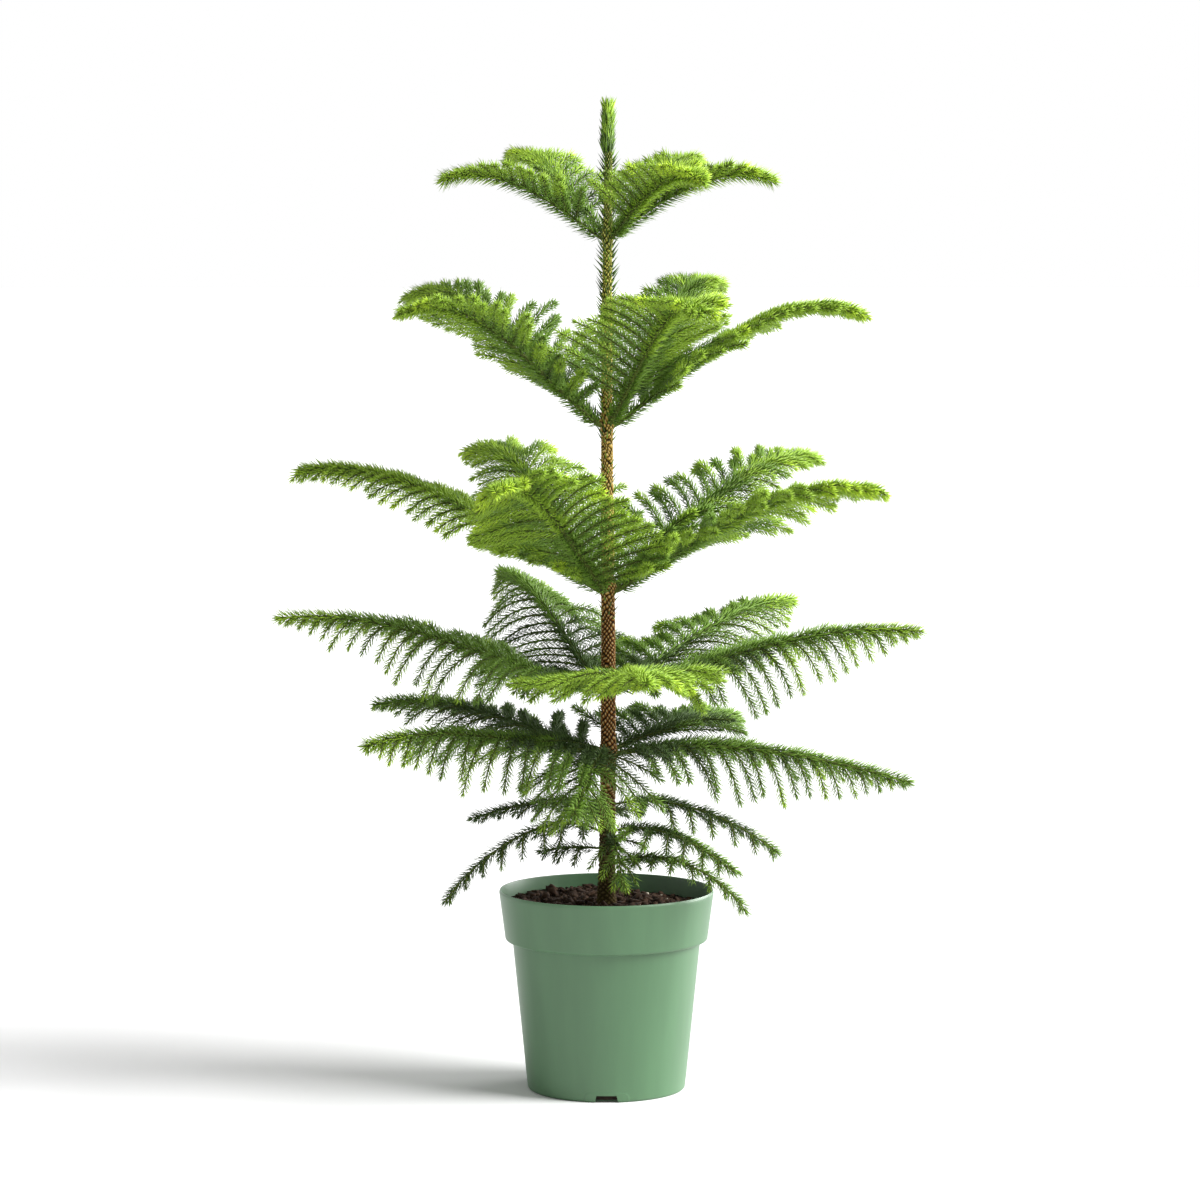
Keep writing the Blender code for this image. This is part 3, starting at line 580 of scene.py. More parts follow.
class Arch:
    """A bough's line: out from the trunk at start_angle, over, and into end_angle at its tip."""

    def __init__(self, height, azimuth, reach, rise, start_angle, end_angle):
        turn = math.radians(azimuth)
        self.out = np.array((math.cos(turn), math.sin(turn), 0.0))
        self.foot = trunk_axis(np.array(height))
        self.root = float(trunk_radius(np.array(height))) + GAP
        self.start = np.array((self.root + BOUGH_ROOT, 0.0))
        self.end = np.array((reach, rise))
        chord = np.linalg.norm(self.end - self.start)
        self.leave = slope(start_angle) * chord
        self.arrive = slope(end_angle) * chord

    def point(self, t):
        """The Hermite curve from the root to the tip, at each t."""
        t = np.asarray(t, dtype=float)[..., None]
        a = 2 * t**3 - 3 * t**2 + 1
        b = t**3 - 2 * t**2 + t
        c = 3 * t**2 - 2 * t**3
        d = t**3 - t**2
        flat = self.start * a + self.leave * b + self.end * c + self.arrive * d
        return self.foot + self.out * flat[..., :1] + UP * flat[..., 1:]

    def tangent(self, t):
        step = 0.001
        return unit(self.point(np.minimum(t + step, 1.0)) - self.point(np.maximum(t - step, 0.0)))

    def at_reach(self, outward):
        """The t at which the line is this far out from the trunk's centre."""
        low, high = 0.0, 1.0
        for _ in range(30):
            middle = (low + high) / 2
            if (self.point(middle) - self.foot) @ self.out < outward:
                low = middle
            else:
                high = middle
        return low

    def length(self, first, last):
        marks = self.point(np.linspace(first, last, 41))
        return float(np.linalg.norm(np.diff(marks, axis=0), axis=-1).sum())


def twig_length(u, fall):
    """A twig's share of the longest one, at the share u of the way along its bough."""
    swell = np.minimum(1.0, TWIG_FIRST_SHARE + TWIG_SWELL * u)
    return swell * (1.0 - fall * u**TWIG_FALL_POWER)


Mass = namedtuple("Mass", "tier name arch first radius tip_radius pitch twig fall lift roll sag tone")
TWIG_STEPS = 8
STEM_STEPS = 40
BARK_STEPS = 150


def all_masses():
    """Every mass of needles, in the order of the solids."""
    masses = []
    for tier, boughs in BOUGHS.items():
        for i, b in enumerate(boughs):
            height = tier.height + BOUGH_STAGGER * (i % 2)
            arch = Arch(height, b.azimuth, b.reach, b.rise, tier.start_angle, tier.end_angle)
            first = arch.at_reach(tier.bare)
            masses.append(
                Mass(
                    tier.name, b.name, arch, first, tier.limb_radius, tier.tip_radius,
                    tier.pitch, tier.twig * b.wide, tier.fall, b.lift, b.roll, b.sag, b.tone,
                )
            )
    for s in SKIRTS:
        arch = Arch(s.height, s.azimuth, s.reach, s.rise, s.start_angle, s.end_angle)
        masses.append(
            Mass(
                "skirt", s.name, arch, arch.at_reach(SKIRT_BARE), SKIRT_STEM_RADIUS, SKIRT_TIP_RADIUS,
                SKIRT_PITCH, s.twig, SKIRT_FALL, s.lift, 0.0, s.sag, s.tone,
            )
        )
    return masses


def grow_twigs(mass, dice):
    """The paths of a mass's twigs, and how far along the bough each one stands.

    They leave in two ranks. A twig's direction is its heading turned down by sag along its
    length, and its path is the sum of those directions. Near the trunk, up to TWIG_STIFF of
    the way, the old twigs are stiff: they roll and sag less.
    """
    arch = mass.arch
    count = max(4, round(arch.length(mass.first, 1.0) / mass.pitch * 2))
    u = (np.arange(count) + TWIG_FIRST) / (count + TWIG_FIRST)
    t = mass.first + (1.0 - mass.first) * u
    rank = np.where(np.arange(count) % 2, 1.0, -1.0)[:, None]
    along = arch.tangent(t)
    side = unit(np.cross(along, UP)) * rank
    over = unit(UP - along * along[:, 2:])
    spread = dice.uniform(-TWIG_ANGLE_SPREAD, TWIG_ANGLE_SPREAD, count)
    open_angle = np.radians(TWIG_ANGLE - TWIG_ANGLE_FALL * u + spread)[:, None]
    grown = smoothstep(0.0, TWIG_STIFF, u)
    tilt = np.radians(mass.lift + mass.roll * rank[:, 0] * grown + spread)[:, None]
    out = side * np.cos(tilt) + over * np.sin(tilt)
    heading = along * np.cos(open_angle) + out * np.sin(open_angle)
    varied = 1.0 + dice.uniform(-TWIG_LENGTH_SPREAD, TWIG_LENGTH_SPREAD, count)
    length = mass.twig * twig_length(u, mass.fall) * varied
    middles = (np.arange(TWIG_STEPS) + 0.5) / TWIG_STEPS
    drop = -mass.sag * (0.35 + 0.65 * grown)[:, None, None] * middles[None, :, None] * UP
    steps = unit(heading[:, None] + drop) * (length / TWIG_STEPS)[:, None, None]
    base = arch.point(t)[:, None]
    return np.concatenate((base, base + np.cumsum(steps, axis=1)), axis=1), u


def twig_radii(paths):
    """The radii along each twig, which tapers evenly."""
    taper = np.linspace(TWIG_RADIUS, TWIG_TIP_RADIUS, TWIG_STEPS + 1)
    return np.broadcast_to(taper, (len(paths), TWIG_STEPS + 1))


def stem_path(arch, steps):
    """The bough's own line from inside the trunk's skin to its tip."""
    inside = arch.foot + arch.out * (arch.root * 0.7)
    return np.concatenate((inside[None], arch.point(np.linspace(0.0, 1.0, steps))))


def tone_index(value):
    return np.clip(np.round(value), 0, len(TONES) - 1).astype(int)


def needle_kinds(mass):
    """The needles on a mass's twigs and on its own stem."""
    if mass.tier == "skirt":
        return SKIRT_TWIG_NEEDLES, SKIRT_STEM_NEEDLES
    if mass.tier in LOW_TIERS and mass.tone < FULL_TONE:
        return LOW_TWIG_NEEDLES, LOW_STEM_NEEDLES
    return TWIG_NEEDLES, STEM_NEEDLES


class PINE_OT_pot(bpy.types.Operator):
    """Make the turned pot with its collar, lip, drain notches and moulded panels"""

    bl_idname = "pine.pot"
    bl_label = "Pot"

    def execute(self, context):
        make_pot(context.scene.pine_pot)
        return {"FINISHED"}


class PINE_OT_mix(bpy.types.Operator):
    """Make the potting mix with its bark chips and pale grains"""

    bl_idname = "pine.mix"
    bl_label = "Potting mix"

    def execute(self, context):
        make_mix(context.scene.pine_pot)
        return {"FINISHED"}


class PINE_OT_trunk(bpy.types.Operator):
    """Make the trunk with its leaf scars"""

    bl_idname = "pine.trunk"
    bl_label = "Trunk"

    def execute(self, context):
        make_trunk(context.scene.pine_bark)
        return {"FINISHED"}


class PINE_OT_boughs(bpy.types.Operator):
    """Make the boughs and twigs that carry the needles"""

    bl_idname = "pine.boughs"
    bl_label = "Boughs and twigs"

    def execute(self, context):
        make_boughs(context.scene.pine_bark)
        return {"FINISHED"}


class PINE_OT_needles(bpy.types.Operator):
    """Set the needles on trunk, boughs and twigs"""

    bl_idname = "pine.needles"
    bl_label = "Needles"

    def execute(self, context):
        make_needles(context.scene.pine_needles)
        return {"FINISHED"}


class PINE_OT_stage(bpy.types.Operator):
    """Make the floor, the soft light and the camera"""

    bl_idname = "pine.stage"
    bl_label = "Floor, light and camera"

    def execute(self, context):
        make_stage(context.scene, context.scene.pine_stage)
        return {"FINISHED"}


def pot_profile():
    """Radius and height down the pot's section: inner floor, inner wall, lip, outer wall, underside."""
    collar_foot = POT_HEIGHT - POT_COLLAR_HEIGHT
    lip = POT_WALL / 2
    inner = POT_WALL

    def line(a, b, steps):
        share = np.linspace(0.0, 1.0, steps, endpoint=False)[:, None]
        return np.array(a) + (np.array(b) - np.array(a)) * share

    def arc(centre, radius, start, end, steps):
        angle = np.radians(np.linspace(start, end, steps, endpoint=False))
        return np.array(centre) + radius * np.stack((np.cos(angle), np.sin(angle)), axis=-1)

    pole = POT_POLE_RADIUS
    floor_edge = (POT_BASE_RADIUS - inner, POT_FLOOR)
    step_in = (POT_BODY_TOP_RADIUS - inner, collar_foot + inner)
    step_out = (POT_COLLAR_FOOT_RADIUS - inner, collar_foot + inner + POT_STEP_SLOPE)
    lip_in = (POT_RIM_RADIUS - inner, POT_HEIGHT - lip)
    lip_top = (POT_RIM_RADIUS - lip * 0.8, POT_HEIGHT)
    lip_out = (POT_RIM_RADIUS, POT_HEIGHT - LIP_BEVEL)
    c, b = POT_COLLAR_CORNER, POT_CORNER
    collar_low = (POT_COLLAR_FOOT_RADIUS, collar_foot + c)
    body_top = (POT_BODY_TOP_RADIUS, collar_foot)
    share = b / collar_foot
    body_low = (POT_BASE_RADIUS + (POT_BODY_TOP_RADIUS - POT_BASE_RADIUS) * share * 0.5, b)
    low_band = (POT_BASE_RADIUS + (POT_BODY_TOP_RADIUS - POT_BASE_RADIUS) * 0.1, POT_LOW_BAND)
    parts = [
        line((pole, POT_FLOOR), floor_edge, 8),
        line(floor_edge, step_in, 12),
        line(step_in, step_out, 3),
        line(step_out, lip_in, 8),
        arc((POT_RIM_RADIUS - lip, POT_HEIGHT - lip), lip, 180.0, 90.0, 4),
        line(lip_top, lip_out, 4),
        line(lip_out, collar_low, 14),
        arc((POT_COLLAR_FOOT_RADIUS - c, collar_foot + c), c, 0.0, -90.0, 7),
        line((POT_COLLAR_FOOT_RADIUS - c, collar_foot), body_top, 3),
        line(body_top, low_band, 18),
        line(low_band, body_low, 22),
        arc((body_low[0] - b, b), b, 0.0, -90.0, 8),
        line((body_low[0] - b, 0.0), (pole, 0.0), 8),
        np.array(((pole, 0.0),)),
    ]
    return np.concatenate(parts)


def pot_columns():
    """Azimuths round the pot, close together over each notch and its panel."""
    third = 360.0 / NOTCH_COUNT
    fine = np.arange(-20.0, 20.0, 0.5)
    coarse = np.arange(20.0, third - 20.0, 2.0)
    one = np.concatenate((fine, coarse))
    return np.radians(np.concatenate([NOTCH_FRONT_AZIMUTH + third * i + one for i in range(NOTCH_COUNT)]))


def panel_height(across, up):
    """How far the moulded panel stands proud: a rectangle with round upper corners, softly edged.

    With beside = |across| - w/2 + c and above = up - h + c, both held above 0, a place is on the
    panel where the length of (beside, above) is less than the corner c.
    """
    beside = np.maximum(np.abs(across) - PANEL_WIDTH / 2 + PANEL_CORNER, 0.0)
    above = np.maximum(up - PANEL_HEIGHT + PANEL_CORNER, 0.0)
    distance = np.hypot(beside, above) - PANEL_CORNER
    return PANEL_PROUD * (1.0 - smoothstep(-PANEL_EDGE, PANEL_EDGE / 4, distance))


def lathe(profile, azimuths, push=None):
    """A profile that runs out, over and back under, turned about Z; its two ends close to poles."""
    radius = np.broadcast_to(profile[:, :1], (len(profile), len(azimuths))).copy()
    height = np.broadcast_to(profile[:, 1:], radius.shape).copy()
    if push is not None:
        radius, height = push(radius, height, azimuths)
    rings = np.stack((radius * np.cos(azimuths), radius * np.sin(azimuths), height), axis=-1)
    index = np.arange(radius.size).reshape(radius.shape)
    quads = grid_quads(index)[:, ::-1]
    top = fan(radius.size, index[0], np.roll(index[0], -1))
    under = fan(radius.size + 1, np.roll(index[-1], -1), index[-1])
    poles = np.array(((0.0, 0.0, height[0].mean()), (0.0, 0.0, height[-1].mean())))
    return np.concatenate((rings.reshape(-1, 3), poles)), [quads, np.concatenate((top, under))]


def pot_material(settings):
    """Moulded polypropylene: an even satin sage green with painted reflections, tall, faint streaks a
    shade lighter and darker, and a fine grit that softens its gloss."""
    material, tree, shader = new_material("Satin moulded polypropylene", 0.42, 0.6)
    where = add_node(tree, "ShaderNodeTexCoord").outputs["Object"]
    tall = add_node(tree, "ShaderNodeMapping", Vector=where, Scale=(1.0, 1.0, POT_REFLECTION_STREAK_SQUASH))
    painted_reflection_streaks = tall.outputs["Vector"]
    # Painted reflections: tall, faint streaks a shade lighter and darker in the base colour.
    mottle(tree, shader, painted_reflection_streaks, POT_REFLECTION_STREAK_WIDTH, 3.0, settings.pot, (0.35, 0.95), (0.65, 1.04))
    grit = add_node(tree, "ShaderNodeTexNoise", Vector=where, Scale=1.0 / POT_GRIT, Detail=2.0).outputs["Fac"]
    bump = add_node(tree, "ShaderNodeBump", Strength=0.06, Distance=0.1 * MM, Height=grit)
    tree.links.new(bump.outputs["Normal"], shader.inputs["Normal"])
    return material


def make_pot(settings):
    profile = pot_profile()
    lip_row = int(np.argmax(profile[:, 1]))

    def push(radius, height, azimuths):
        outer = (np.arange(len(radius)) > lip_row)[:, None]
        near = math.radians(360.0 / NOTCH_COUNT)
        off = (azimuths - math.radians(NOTCH_FRONT_AZIMUTH) + near / 2) % near - near / 2
        rise = panel_height(off[None, :] * POT_BASE_RADIUS, height)
        return radius + np.where(outer & (radius > POT_BASE_RADIUS * 0.94), rise, 0.0), height

    points, faces = lathe(profile, pot_columns(), push)
    pot = mesh_object("pot_shell", points, faces, pot_material(settings))
    cutter = notch_cutter()
    cut = pot.modifiers.new("Drain notches", "BOOLEAN")
    cut.operation = "DIFFERENCE"
    cut.solver = "EXACT"
    cut.object = cutter
    graph = bpy.context.evaluated_depsgraph_get()
    mesh = bpy.data.meshes.new_from_object(pot.evaluated_get(graph))
    pot.modifiers.clear()
    pot.data = mesh
    bpy.data.objects.remove(cutter)
    mesh.set_sharp_from_angle(angle=math.radians(40))
    dress(pot, "pot", "pot")


def notch_cutter():
    """One wedge for each drain notch: a box as deep as the wall and narrower at its top."""
    width = np.where(BOX_CORNERS[:, 2] > 0, NOTCH_WIDTH_ABOVE, NOTCH_WIDTH_BELOW)
    half = np.stack((np.full(8, NOTCH_DEPTH / 2), width / 2, np.full(8, NOTCH_HEIGHT)), axis=-1)
    box = BOX_CORNERS * half
    box[:, 0] += POT_BASE_RADIUS
    wedges = []
    for i in range(NOTCH_COUNT):
        a = math.radians(NOTCH_FRONT_AZIMUTH + i * 360.0 / NOTCH_COUNT)
        turn = np.array(((math.cos(a), math.sin(a), 0.0), (-math.sin(a), math.cos(a), 0.0), (0.0, 0.0, 1.0)))
        wedges.append((box @ turn, [BOX_SIDES]))
    points, faces = merge(wedges)
    cutter = mesh_object("notch_cutter", points, faces, bpy.data.materials.new("cutter"), smooth=False)
    cutter.hide_render = True
    return cutter


def soil_height(x, y):
    """Height of the mix: level, falling to its edge, with lumps of several sizes, higher at the left."""
    r = np.hypot(x, y)
    edge = POT_RIM_RADIUS - POT_WALL
    fall = SOIL_EDGE_DROP * np.clip((r - SOIL_FLAT_RADIUS) / (edge - SOIL_FLAT_RADIUS), 0.0, 1.0)
    lumps = waves(x, y, 34 * MM, 3) * 0.6 + waves(x, y, 13 * MM, 4) * 0.4 + waves(x, y, 6 * MM, 5) * 0.22
    heap = SOIL_HEAP * smoothstep(0.015, 0.065, -0.8 * x + 0.6 * y)
    return SOIL_LEVEL - fall + heap + SOIL_LUMP * lumps * smoothstep(0.006, 0.02, r)


def soil_material(settings):
    """Damp composted bark: near-black brown, dull, in crumbs of a millimetre or two."""
    material, tree, shader = new_material("Damp composted bark", 0.95, 0.2)
    where = add_node(tree, "ShaderNodeTexCoord").outputs["Object"]
    crumb = mottle(tree, shader, where, 4 * MM, 6.0, settings.mix, (0.38, 0.35), (0.68, 1.5))
    bump = add_node(tree, "ShaderNodeBump", Strength=0.7, Distance=1.0 * MM, Height=crumb)
    tree.links.new(bump.outputs["Normal"], shader.inputs["Normal"])
    return material


def chip_material(name, colour, roughness):
    """Broken bark or mineral: matt, lighter and darker over a few millimetres."""
    material, tree, shader = new_material(name, roughness, 0.25)
    where = add_node(tree, "ShaderNodeTexCoord").outputs["Object"]
    mottle(tree, shader, where, 5 * MM, 4.0, colour, (0.35, 0.45), (0.7, 1.5))
    return material


def chips(count, size, flatness, sink, dice):
    """Small broken blocks on the mix: a cube's corners pushed about, turned at random, part sunk."""
    radius = (POT_RIM_RADIUS - POT_WALL - CHIPS_OFF_WALL) * np.sqrt(dice.uniform(0.012, 1.0, count))
    turn = dice.uniform(0.0, TAU, count)
    x, y = radius * np.cos(turn), radius * np.sin(turn)
    scale = size * dice.lognormal(0.0, 0.38, count)
    scale = np.minimum(scale, size * 2.2)
    pushed = 1.0 + dice.uniform(-0.35, 0.25, (count, 8, 3))
    shape = BOX_CORNERS * np.array((1.0, 0.55, flatness)) * pushed * (scale / 2)[:, None, None]
    a, b = dice.uniform(0.0, TAU, count), dice.normal(0.0, 0.42, count)
    c, s = np.cos(a), np.sin(a)
    cb, sb = np.cos(b), np.sin(b)
    px = shape[..., 0] * cb[:, None] - shape[..., 2] * sb[:, None]
    pz = shape[..., 0] * sb[:, None] + shape[..., 2] * cb[:, None]
    py = shape[..., 1]
    wx = px * c[:, None] - py * s[:, None] + x[:, None]
    wy = px * s[:, None] + py * c[:, None] + y[:, None]
    wz = pz + (soil_height(x, y) + scale * sink)[:, None]
    faces = (np.arange(count) * 8)[:, None, None] + BOX_SIDES
    return np.stack((wx, wy, wz), axis=-1).reshape(-1, 3), [faces.reshape(-1, 4)]


def make_mix(settings):
    """The mix fills the pot below its lumpy top; chips and grains lie on it."""
    collar_foot = POT_HEIGHT - POT_COLLAR_HEIGHT
    thick = POT_WALL + SOIL_GAP
    low = (POT_COLLAR_FOOT_RADIUS - thick, collar_foot + thick + POT_STEP_SLOPE)
    high = (POT_RIM_RADIUS - thick, POT_HEIGHT)
    edge = SOIL_LEVEL - SOIL_EDGE_DROP
    rim = low[0] + (high[0] - low[0]) * (edge - low[1]) / (high[1] - low[1])
    top = np.stack((np.linspace(0.0012, rim, 64), np.full(64, SOIL_LEVEL)), axis=-1)
    under = np.array(
        (
            low,
            (POT_BODY_TOP_RADIUS - thick, collar_foot + thick),
            (POT_BASE_RADIUS - thick, POT_FLOOR + SOIL_GAP),
            (POT_POLE_RADIUS, POT_FLOOR + SOIL_GAP),
        )
    )
    profile = np.concatenate((top, under))
    azimuths = np.radians(np.arange(0.0, 360.0, 2.5))

    def push(radius, height, turn):
        lifted = soil_height(radius * np.cos(turn), radius * np.sin(turn))
        ground = (np.arange(len(radius)) < len(top))[:, None]
        return radius, np.where(ground, lifted, height)

    points, faces = lathe(profile, azimuths, push)
    dress(mesh_object("potting_mix", points, faces, soil_material(settings)), "soil", "soil")
    dice = np.random.default_rng(11)
    bark = chip_material("Broken pine bark", settings.chip, 0.9)
    points, faces = merge([chips(900, 0.0052, 0.42, 0.12, dice), chips(1500, 0.0024, 0.6, 0.18, dice)])
    dress(mesh_object("bark_chips", points, faces, bark, smooth=False), "soil", "soil")
    pale = chip_material("Crushed pale mineral", settings.grain, 0.85)
    points, faces = chips(46, 0.0024, 0.8, 0.3, dice)
    dress(mesh_object("pale_grains", points, faces, pale, smooth=False), "soil", "soil")


def leaf_scars(u, v):
    """Diamonds: with p and q the fractions of u + v and u - v less a half, the crest rises from
    each diamond's edge, min(1/2 - |p|, 1/2 - |q|), and its height grows towards the upper point.
    The scar is a round bump, exp(-a - b), just above the middle, where the needle stood."""
    p = (u + v) % 1.0 - 0.5
    q = (u - v) % 1.0 - 0.5
    edge = 2.0 * np.minimum(0.5 - np.abs(p), 0.5 - np.abs(q))
    crest = smoothstep(0.12, 0.60, edge)
    upward = p - q
    scar = np.exp(-((upward - 0.22) ** 2) / 0.09 - (p + q) ** 2 / 0.07)
    return crest * (0.72 + 0.28 * upward), crest, scar


def trunk_material(settings):
    """Young scaly bark: green at the leader, then olive, gold and red-brown, dark between its scales,
    with a pale fleck where each needle stood."""
    material, tree, shader = new_material("Scaly young bark", 0.85, 0.12)
    where = add_node(tree, "ShaderNodeTexCoord").outputs["Object"]
    height = add_node(tree, "ShaderNodeSeparateXYZ", Vector=where).outputs["Z"]
    ends = {"From Min": SOIL_LEVEL, "From Max": TRUNK_TOP}
    share = add_node(tree, "ShaderNodeMapRange", Value=height, **ends).outputs["Result"]
    blotch = add_node(tree, "ShaderNodeTexNoise", Vector=where, Scale=1.0 / BARK_BLOTCH, Detail=3.0)
    shifted = add_node(
        tree, "ShaderNodeMath", {"operation": "MULTIPLY_ADD"}, i0=blotch.outputs["Fac"], i1=0.06, i2=share
    )
    ramp = add_node(tree, "ShaderNodeValToRGB", Fac=shifted.outputs["Value"])
    stops = (
        (0.02, settings.foot), (0.13, settings.foot), (0.24, settings.rusty), (0.42, settings.rusty),
        (0.50, settings.golden), (0.68, settings.golden), (0.80, settings.upper), (1.0, settings.leader),
    )
    elements = ramp.color_ramp.elements
    elements[0].position, elements[0].color = stops[0][0], rgba(stops[0][1])
    elements[1].position, elements[1].color = stops[-1][0], rgba(stops[-1][1])
    for place, colour in stops[1:-1]:
        elements.new(place).color = rgba(colour)
    crest = add_node(tree, "ShaderNodeAttribute", {"attribute_name": "crest"}).outputs["Fac"]
    scar = add_node(tree, "ShaderNodeAttribute", {"attribute_name": "scar"}).outputs["Fac"]

    def by_age(at_foot, above):
        """A value that runs from at_foot to above over the worn share of the trunk."""
        span = {"From Max": WORN_SHARE, "To Min": at_foot, "To Max": above}
        return add_node(tree, "ShaderNodeMapRange", Value=share, **span).outputs["Result"]

    groove = add_node(tree, "ShaderNodeMapRange", Value=crest, **{"To Min": by_age(0.50, 0.02)})
    dark = add_node(
        tree,
        "ShaderNodeVectorMath",
        {"operation": "SCALE"},
        i0=ramp.outputs["Color"],
        Scale=groove.outputs["Result"],
    )
    fleck = add_node(tree, "ShaderNodeMath", {"operation": "MULTIPLY"}, i0=scar, i1=by_age(0.05, 0.7))
    pale = add_node(
        tree,
        "ShaderNodeMix",
        {"data_type": "RGBA"},
        Factor=fleck.outputs["Value"],
        i6=dark.outputs["Vector"],
        i7=rgba(linear(FLECK_COLOUR)),
    )
    tree.links.new(pale.outputs[2], shader.inputs["Base Color"])
    return material


def bough_material(settings):
    """Green skin of a young shoot: olive, lighter and darker over a few millimetres."""
    material, tree, shader = new_material("Green shoot skin", 0.7, 0.3)
    where = add_node(tree, "ShaderNodeTexCoord").outputs["Object"]
    mottle(tree, shader, where, 8 * MM, 3.0, settings.bough, (0.35, 0.6), (0.68, 1.25))
    return material


def make_trunk(settings):
    """The trunk's tube, with its scars and a swelling where each whorl of boughs leaves it.

    The rows of scars wander: waves along the trunk and round it shift each scar's place."""
    columns = TRUNK_MESH_COLUMNS
    z = np.linspace(SOIL_LEVEL - 0.0015, TRUNK_TOP + 0.004, TRUNK_MESH_ROWS)
    radius = trunk_radius(z)
    for tier in BOUGHS:
        radius = radius + WHORL_SWELL * np.exp(-(((z - tier.height - BOUGH_STAGGER / 2) / WHORL_HEIGHT) ** 2))
    turn = TAU * np.arange(columns)[None, :] / columns
    x, y, up = np.cos(turn), np.sin(turn), z[:, None] / (9 * MM)
    u = TRUNK_SCAR_ROWS * turn / TAU + TRUNK_SCAR_WANDER * waves(x * 1.6 + up, y * 1.6 - 0.7 * up, 3.0, 8)
    v = z[:, None] / TRUNK_SCAR_PITCH + TRUNK_SCAR_WANDER * waves(x * 1.6 - up, y * 1.6 + 0.6 * up, 3.0, 9)
    height, crest, scar = leaf_scars(u, v)
    relief = height * TRUNK_SCAR_DEPTH * (0.45 + 0.55 * radius / TRUNK_FOOT_RADIUS)[:, None]
    path = trunk_axis(z)
    points, faces = tubes(path[None], radius[None], columns, relief[None])
    ends = np.zeros(2)
    attributes = (
        ("crest", np.concatenate((crest.ravel(), ends + 1.0))),
        ("scar", np.concatenate((scar.ravel(), ends))),
    )
    trunk = mesh_object("trunk_bark", points, faces, trunk_material(settings), attributes=attributes)
    dress(trunk, "trunk_bark", "trunk")


def make_boughs(settings):
    """Per tier, one mesh of its boughs from trunk to tip and one of their twigs."""
    skin = bough_material(settings)
    boughs, twigs = {}, {}
    for number, mass in enumerate(all_masses()):
        path = stem_path(mass.arch, BARK_STEPS)[None]
        share = np.linspace(0.0, 1.0, path.shape[1])
        radii = (mass.radius + (mass.tip_radius - mass.radius) * share)[None]
        walked = np.concatenate(([0.0], np.cumsum(np.linalg.norm(np.diff(path[0], axis=0), axis=-1))))
        sides = 2 * BOUGH_SCAR_ROWS
        u = BOUGH_SCAR_ROWS * np.arange(sides) / sides
        height, _, _ = leaf_scars(u[None, :], (walked / BOUGH_SCAR_PITCH)[:, None])
        relief = (height - 0.5)[None] * BOUGH_SCAR_DEPTH
        boughs.setdefault(mass.tier, []).append(tubes(path, radii, sides, relief))
        paths, _ = grow_twigs(mass, np.random.default_rng(number))
        twigs.setdefault(mass.tier, []).append(tubes(paths, twig_radii(paths), 4))
    for tier in boughs:
        masses = nodes_named(f"foliage_{tier}_")
        points, faces = merge(boughs[tier])
        limbs = nodes_named(f"bough_{tier}_") + masses
        dress(mesh_object(f"boughs_{tier}", points, faces, skin), "bough_bark", *limbs)
        points, faces = merge(twigs[tier])
        dress(mesh_object(f"twigs_{tier}", points, faces, skin), "bough_bark", *masses)


def make_needles(settings):
    """Needles by tier and tone. A spray's tone is its mass's own, fresher towards the tips of
    bough and twig, with a seeded change from twig to twig. The deeper tones inside the crown and on
    the back and low masses are partly painted shade."""
    looks = {
        # The deep green material serves old needles and painted shade inside and low in the crown.
        "deep": needle_material("Old waxy needles", settings.deep, 0.55),
        "mid": needle_material("Waxy needles", settings.mid, 0.5),
        "fresh": needle_material("Young waxy needles", settings.fresh, 0.48),
        "lime": needle_material("New soft needles", settings.lime, 0.48),
    }
    sprays = {}

    def deal(tier, points, tones):
        for i, tone in enumerate(TONES):
            chosen = points[tones == i]
            if len(chosen):
                sprays.setdefault((tier, tone), []).append(chosen)

    for number, mass in enumerate(all_masses()):
        paths, u = grow_twigs(mass, np.random.default_rng(number))
        dice = np.random.default_rng(1000 + number)
        on_twigs, on_stem = needle_kinds(mass)
        cloud, owner, share = needle_cloud(paths, twig_radii(paths), on_twigs, dice, settings)
        own = mass.tone + TONE_ALONG_BOUGH * (u - 0.5) + dice.normal(0.0, TONE_SPREAD, len(paths))
        marks, changes = zip(*TONE_ALONG_TWIG)
        outer = np.select([share > mark for mark in marks], changes)
        deal(mass.tier, cloud, tone_index(own[owner] + outer))
        path = stem_path(mass.arch, STEM_STEPS)[None]
        stem_radii = np.linspace(mass.radius, mass.tip_radius, path.shape[1])[None]
        cloud, _, share = needle_cloud(path, stem_radii, on_stem, dice, settings, start=0.03)
        # Stem needles are deeper near the trunk, partly for older needles and partly as painted shade.
        stem_tone = mass.tone - 0.8 + 1.6 * np.floor(share * 5.0) / 5.0
        deal(mass.tier, cloud, tone_index(stem_tone))

    dice = np.random.default_rng(77)
    for low, high, kind in TRUNK_NEEDLE_SPANS:
        z = np.linspace(low, high, 60)
        cloud, _, _ = needle_cloud(trunk_axis(z)[None], trunk_radius(z)[None], kind, dice, settings)
        deal("trunk", cloud, tone_index(dice.normal(0.4, 0.5, len(cloud))))
    bud = np.linspace(TRUNK_TOP - 0.004, LEADER_TOP - 0.006, 12)
    line = trunk_axis(bud) - np.array((LEADER_LEAN, 0.0, 0.0))
    thick = np.linspace(TRUNK_TIP_RADIUS, 0.0012, 12)[None]
    cloud, _, share = needle_cloud(line[None], thick, LEADER_NEEDLES, dice, settings)
    tone = 0.5 + 1.5 * np.floor(share * 4.0) / 4.0
    deal("leader", cloud, tone_index(tone + dice.normal(0.0, 0.4, len(cloud))))

    for (tier, tone), clouds in sprays.items():
        points = np.concatenate(clouds)
        nodes = {"trunk": ["trunk"], "leader": ["foliage_leader"]}.get(tier)
        nodes = nodes or nodes_named(f"foliage_{tier}_")
        piece = mesh_object(f"needles_{tier}_{tone}", points, needle_faces(len(points)), looks[tone])
        dress(piece, f"needles_{tone}", *nodes)


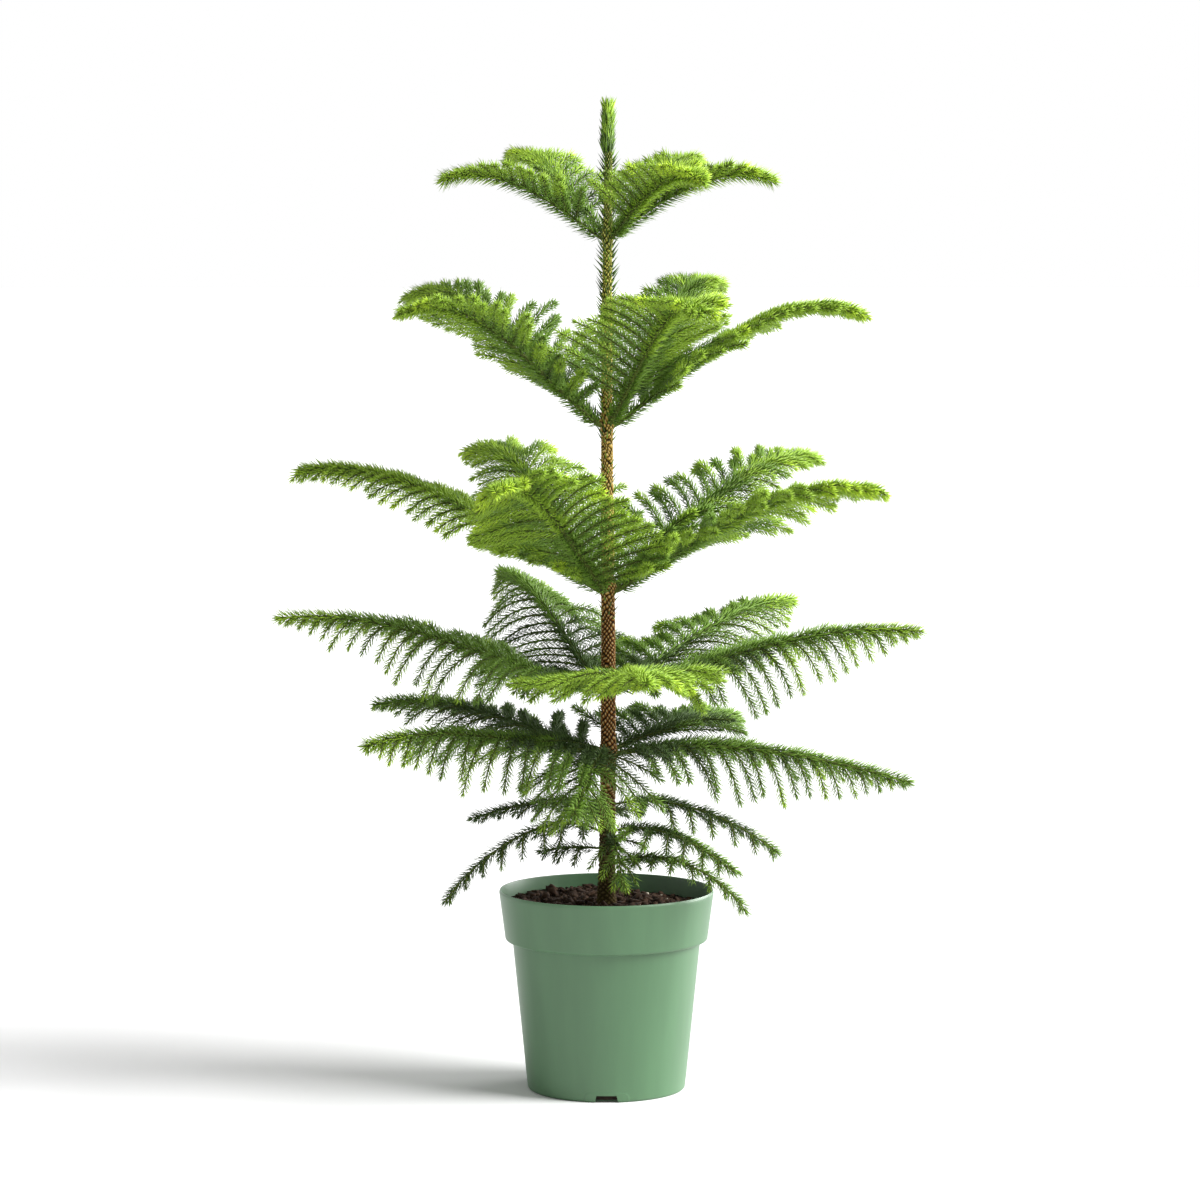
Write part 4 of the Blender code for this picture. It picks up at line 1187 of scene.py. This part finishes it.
def make_stage(scene, settings):
    """A wide pale floor in white surroundings, soft lights from the right, and the camera."""
    size = FLOOR_HALF
    corners = np.array(((-size, -size, 0.0), (size, -size, 0.0), (size, size, 0.0), (-size, size, 0.0)))
    paint, _, shader = new_material("Matt studio paint", 0.9, 0.1)
    shader.inputs["Base Color"].default_value = rgba(settings.floor)
    floor = mesh_object("floor", corners, [np.array(((0, 1, 2, 3),))], paint, smooth=False)
    world = bpy.data.worlds.new("White surroundings")
    world.use_nodes = True
    tree = world.node_tree
    background = tree.nodes["Background"]
    background.inputs["Color"].default_value = (1.0, 1.0, 1.0, 1.0)
    path = add_node(tree, "ShaderNodeLightPath").outputs
    seen = add_node(
        tree, "ShaderNodeMath", {"operation": "MAXIMUM"}, i0=path["Is Camera Ray"], i1=path["Is Glossy Ray"]
    ).outputs["Value"]
    strength = add_node(tree, "ShaderNodeMapRange", Value=seen)
    strength.inputs["To Min"].default_value = settings.sky
    strength.inputs["To Max"].default_value = 1.0
    tree.links.new(strength.outputs["Result"], background.inputs["Strength"])
    scene.world = world
    soft_light(scene, "key_light", settings.key, KEY_AZIMUTH, KEY_ELEVATION)
    soft_light(scene, "edge_light", settings.edge, EDGE_AZIMUTH, EDGE_ELEVATION)
    camera = bpy.data.cameras.new("camera")
    camera.sensor_width = PHOTO_SENSOR
    camera.lens = PHOTO_FOCAL_LENGTH
    camera.clip_end = 200.0
    view = bpy.data.objects.new("camera", camera)
    view.location = PHOTO_PLACE
    view.rotation_euler = (math.radians(90.0 - PHOTO_PITCH), 0.0, 0.0)
    scene.collection.objects.link(view)
    scene.camera = view
    scene.view_settings.view_transform = "Standard"


def soft_light(scene, name, strength, azimuth, elevation):
    """A far lamp that looks LIGHT_SOFTNESS degrees wide, and shines from this azimuth and elevation."""
    lamp = bpy.data.lights.new(name, "SUN")
    lamp.angle = math.radians(LIGHT_SOFTNESS)
    lamp.energy = strength
    light = bpy.data.objects.new(name, lamp)
    light.rotation_euler = (math.radians(90.0 - elevation), 0.0, math.radians(azimuth + 90.0))
    scene.collection.objects.link(light)


class PINE_PT_panel(bpy.types.Panel):
    """Lists the pieces of the pine"""

    bl_label = "Potted pine"
    bl_space_type = "VIEW_3D"
    bl_region_type = "UI"
    bl_category = "Pine"

    def draw(self, context):
        for operator in OPERATORS:
            self.layout.operator(operator.bl_idname)
        for name in SETTINGS:
            box = self.layout.box()
            group = getattr(context.scene, name)
            for key in group.__annotations__:
                box.prop(group, key)


SETTINGS = {
    "pine_needles": PineNeedleSettings,
    "pine_bark": PineBarkSettings,
    "pine_pot": PinePotSettings,
    "pine_stage": PineStageSettings,
}
OPERATORS = (PINE_OT_pot, PINE_OT_mix, PINE_OT_trunk, PINE_OT_boughs, PINE_OT_needles, PINE_OT_stage)


def register():
    for kind in (*SETTINGS.values(), *OPERATORS, PINE_PT_panel):
        bpy.utils.register_class(kind)
    for name, kind in SETTINGS.items():
        setattr(bpy.types.Scene, name, bpy.props.PointerProperty(type=kind))


def unregister():
    for name in SETTINGS:
        delattr(bpy.types.Scene, name)
    for kind in reversed((*SETTINGS.values(), *OPERATORS, PINE_PT_panel)):
        bpy.utils.unregister_class(kind)


def main():
    register()
    bpy.ops.pine.pot()
    bpy.ops.pine.mix()
    bpy.ops.pine.trunk()
    bpy.ops.pine.boughs()
    bpy.ops.pine.needles()
    bpy.ops.pine.stage()


if __name__ == "__main__":
    main()
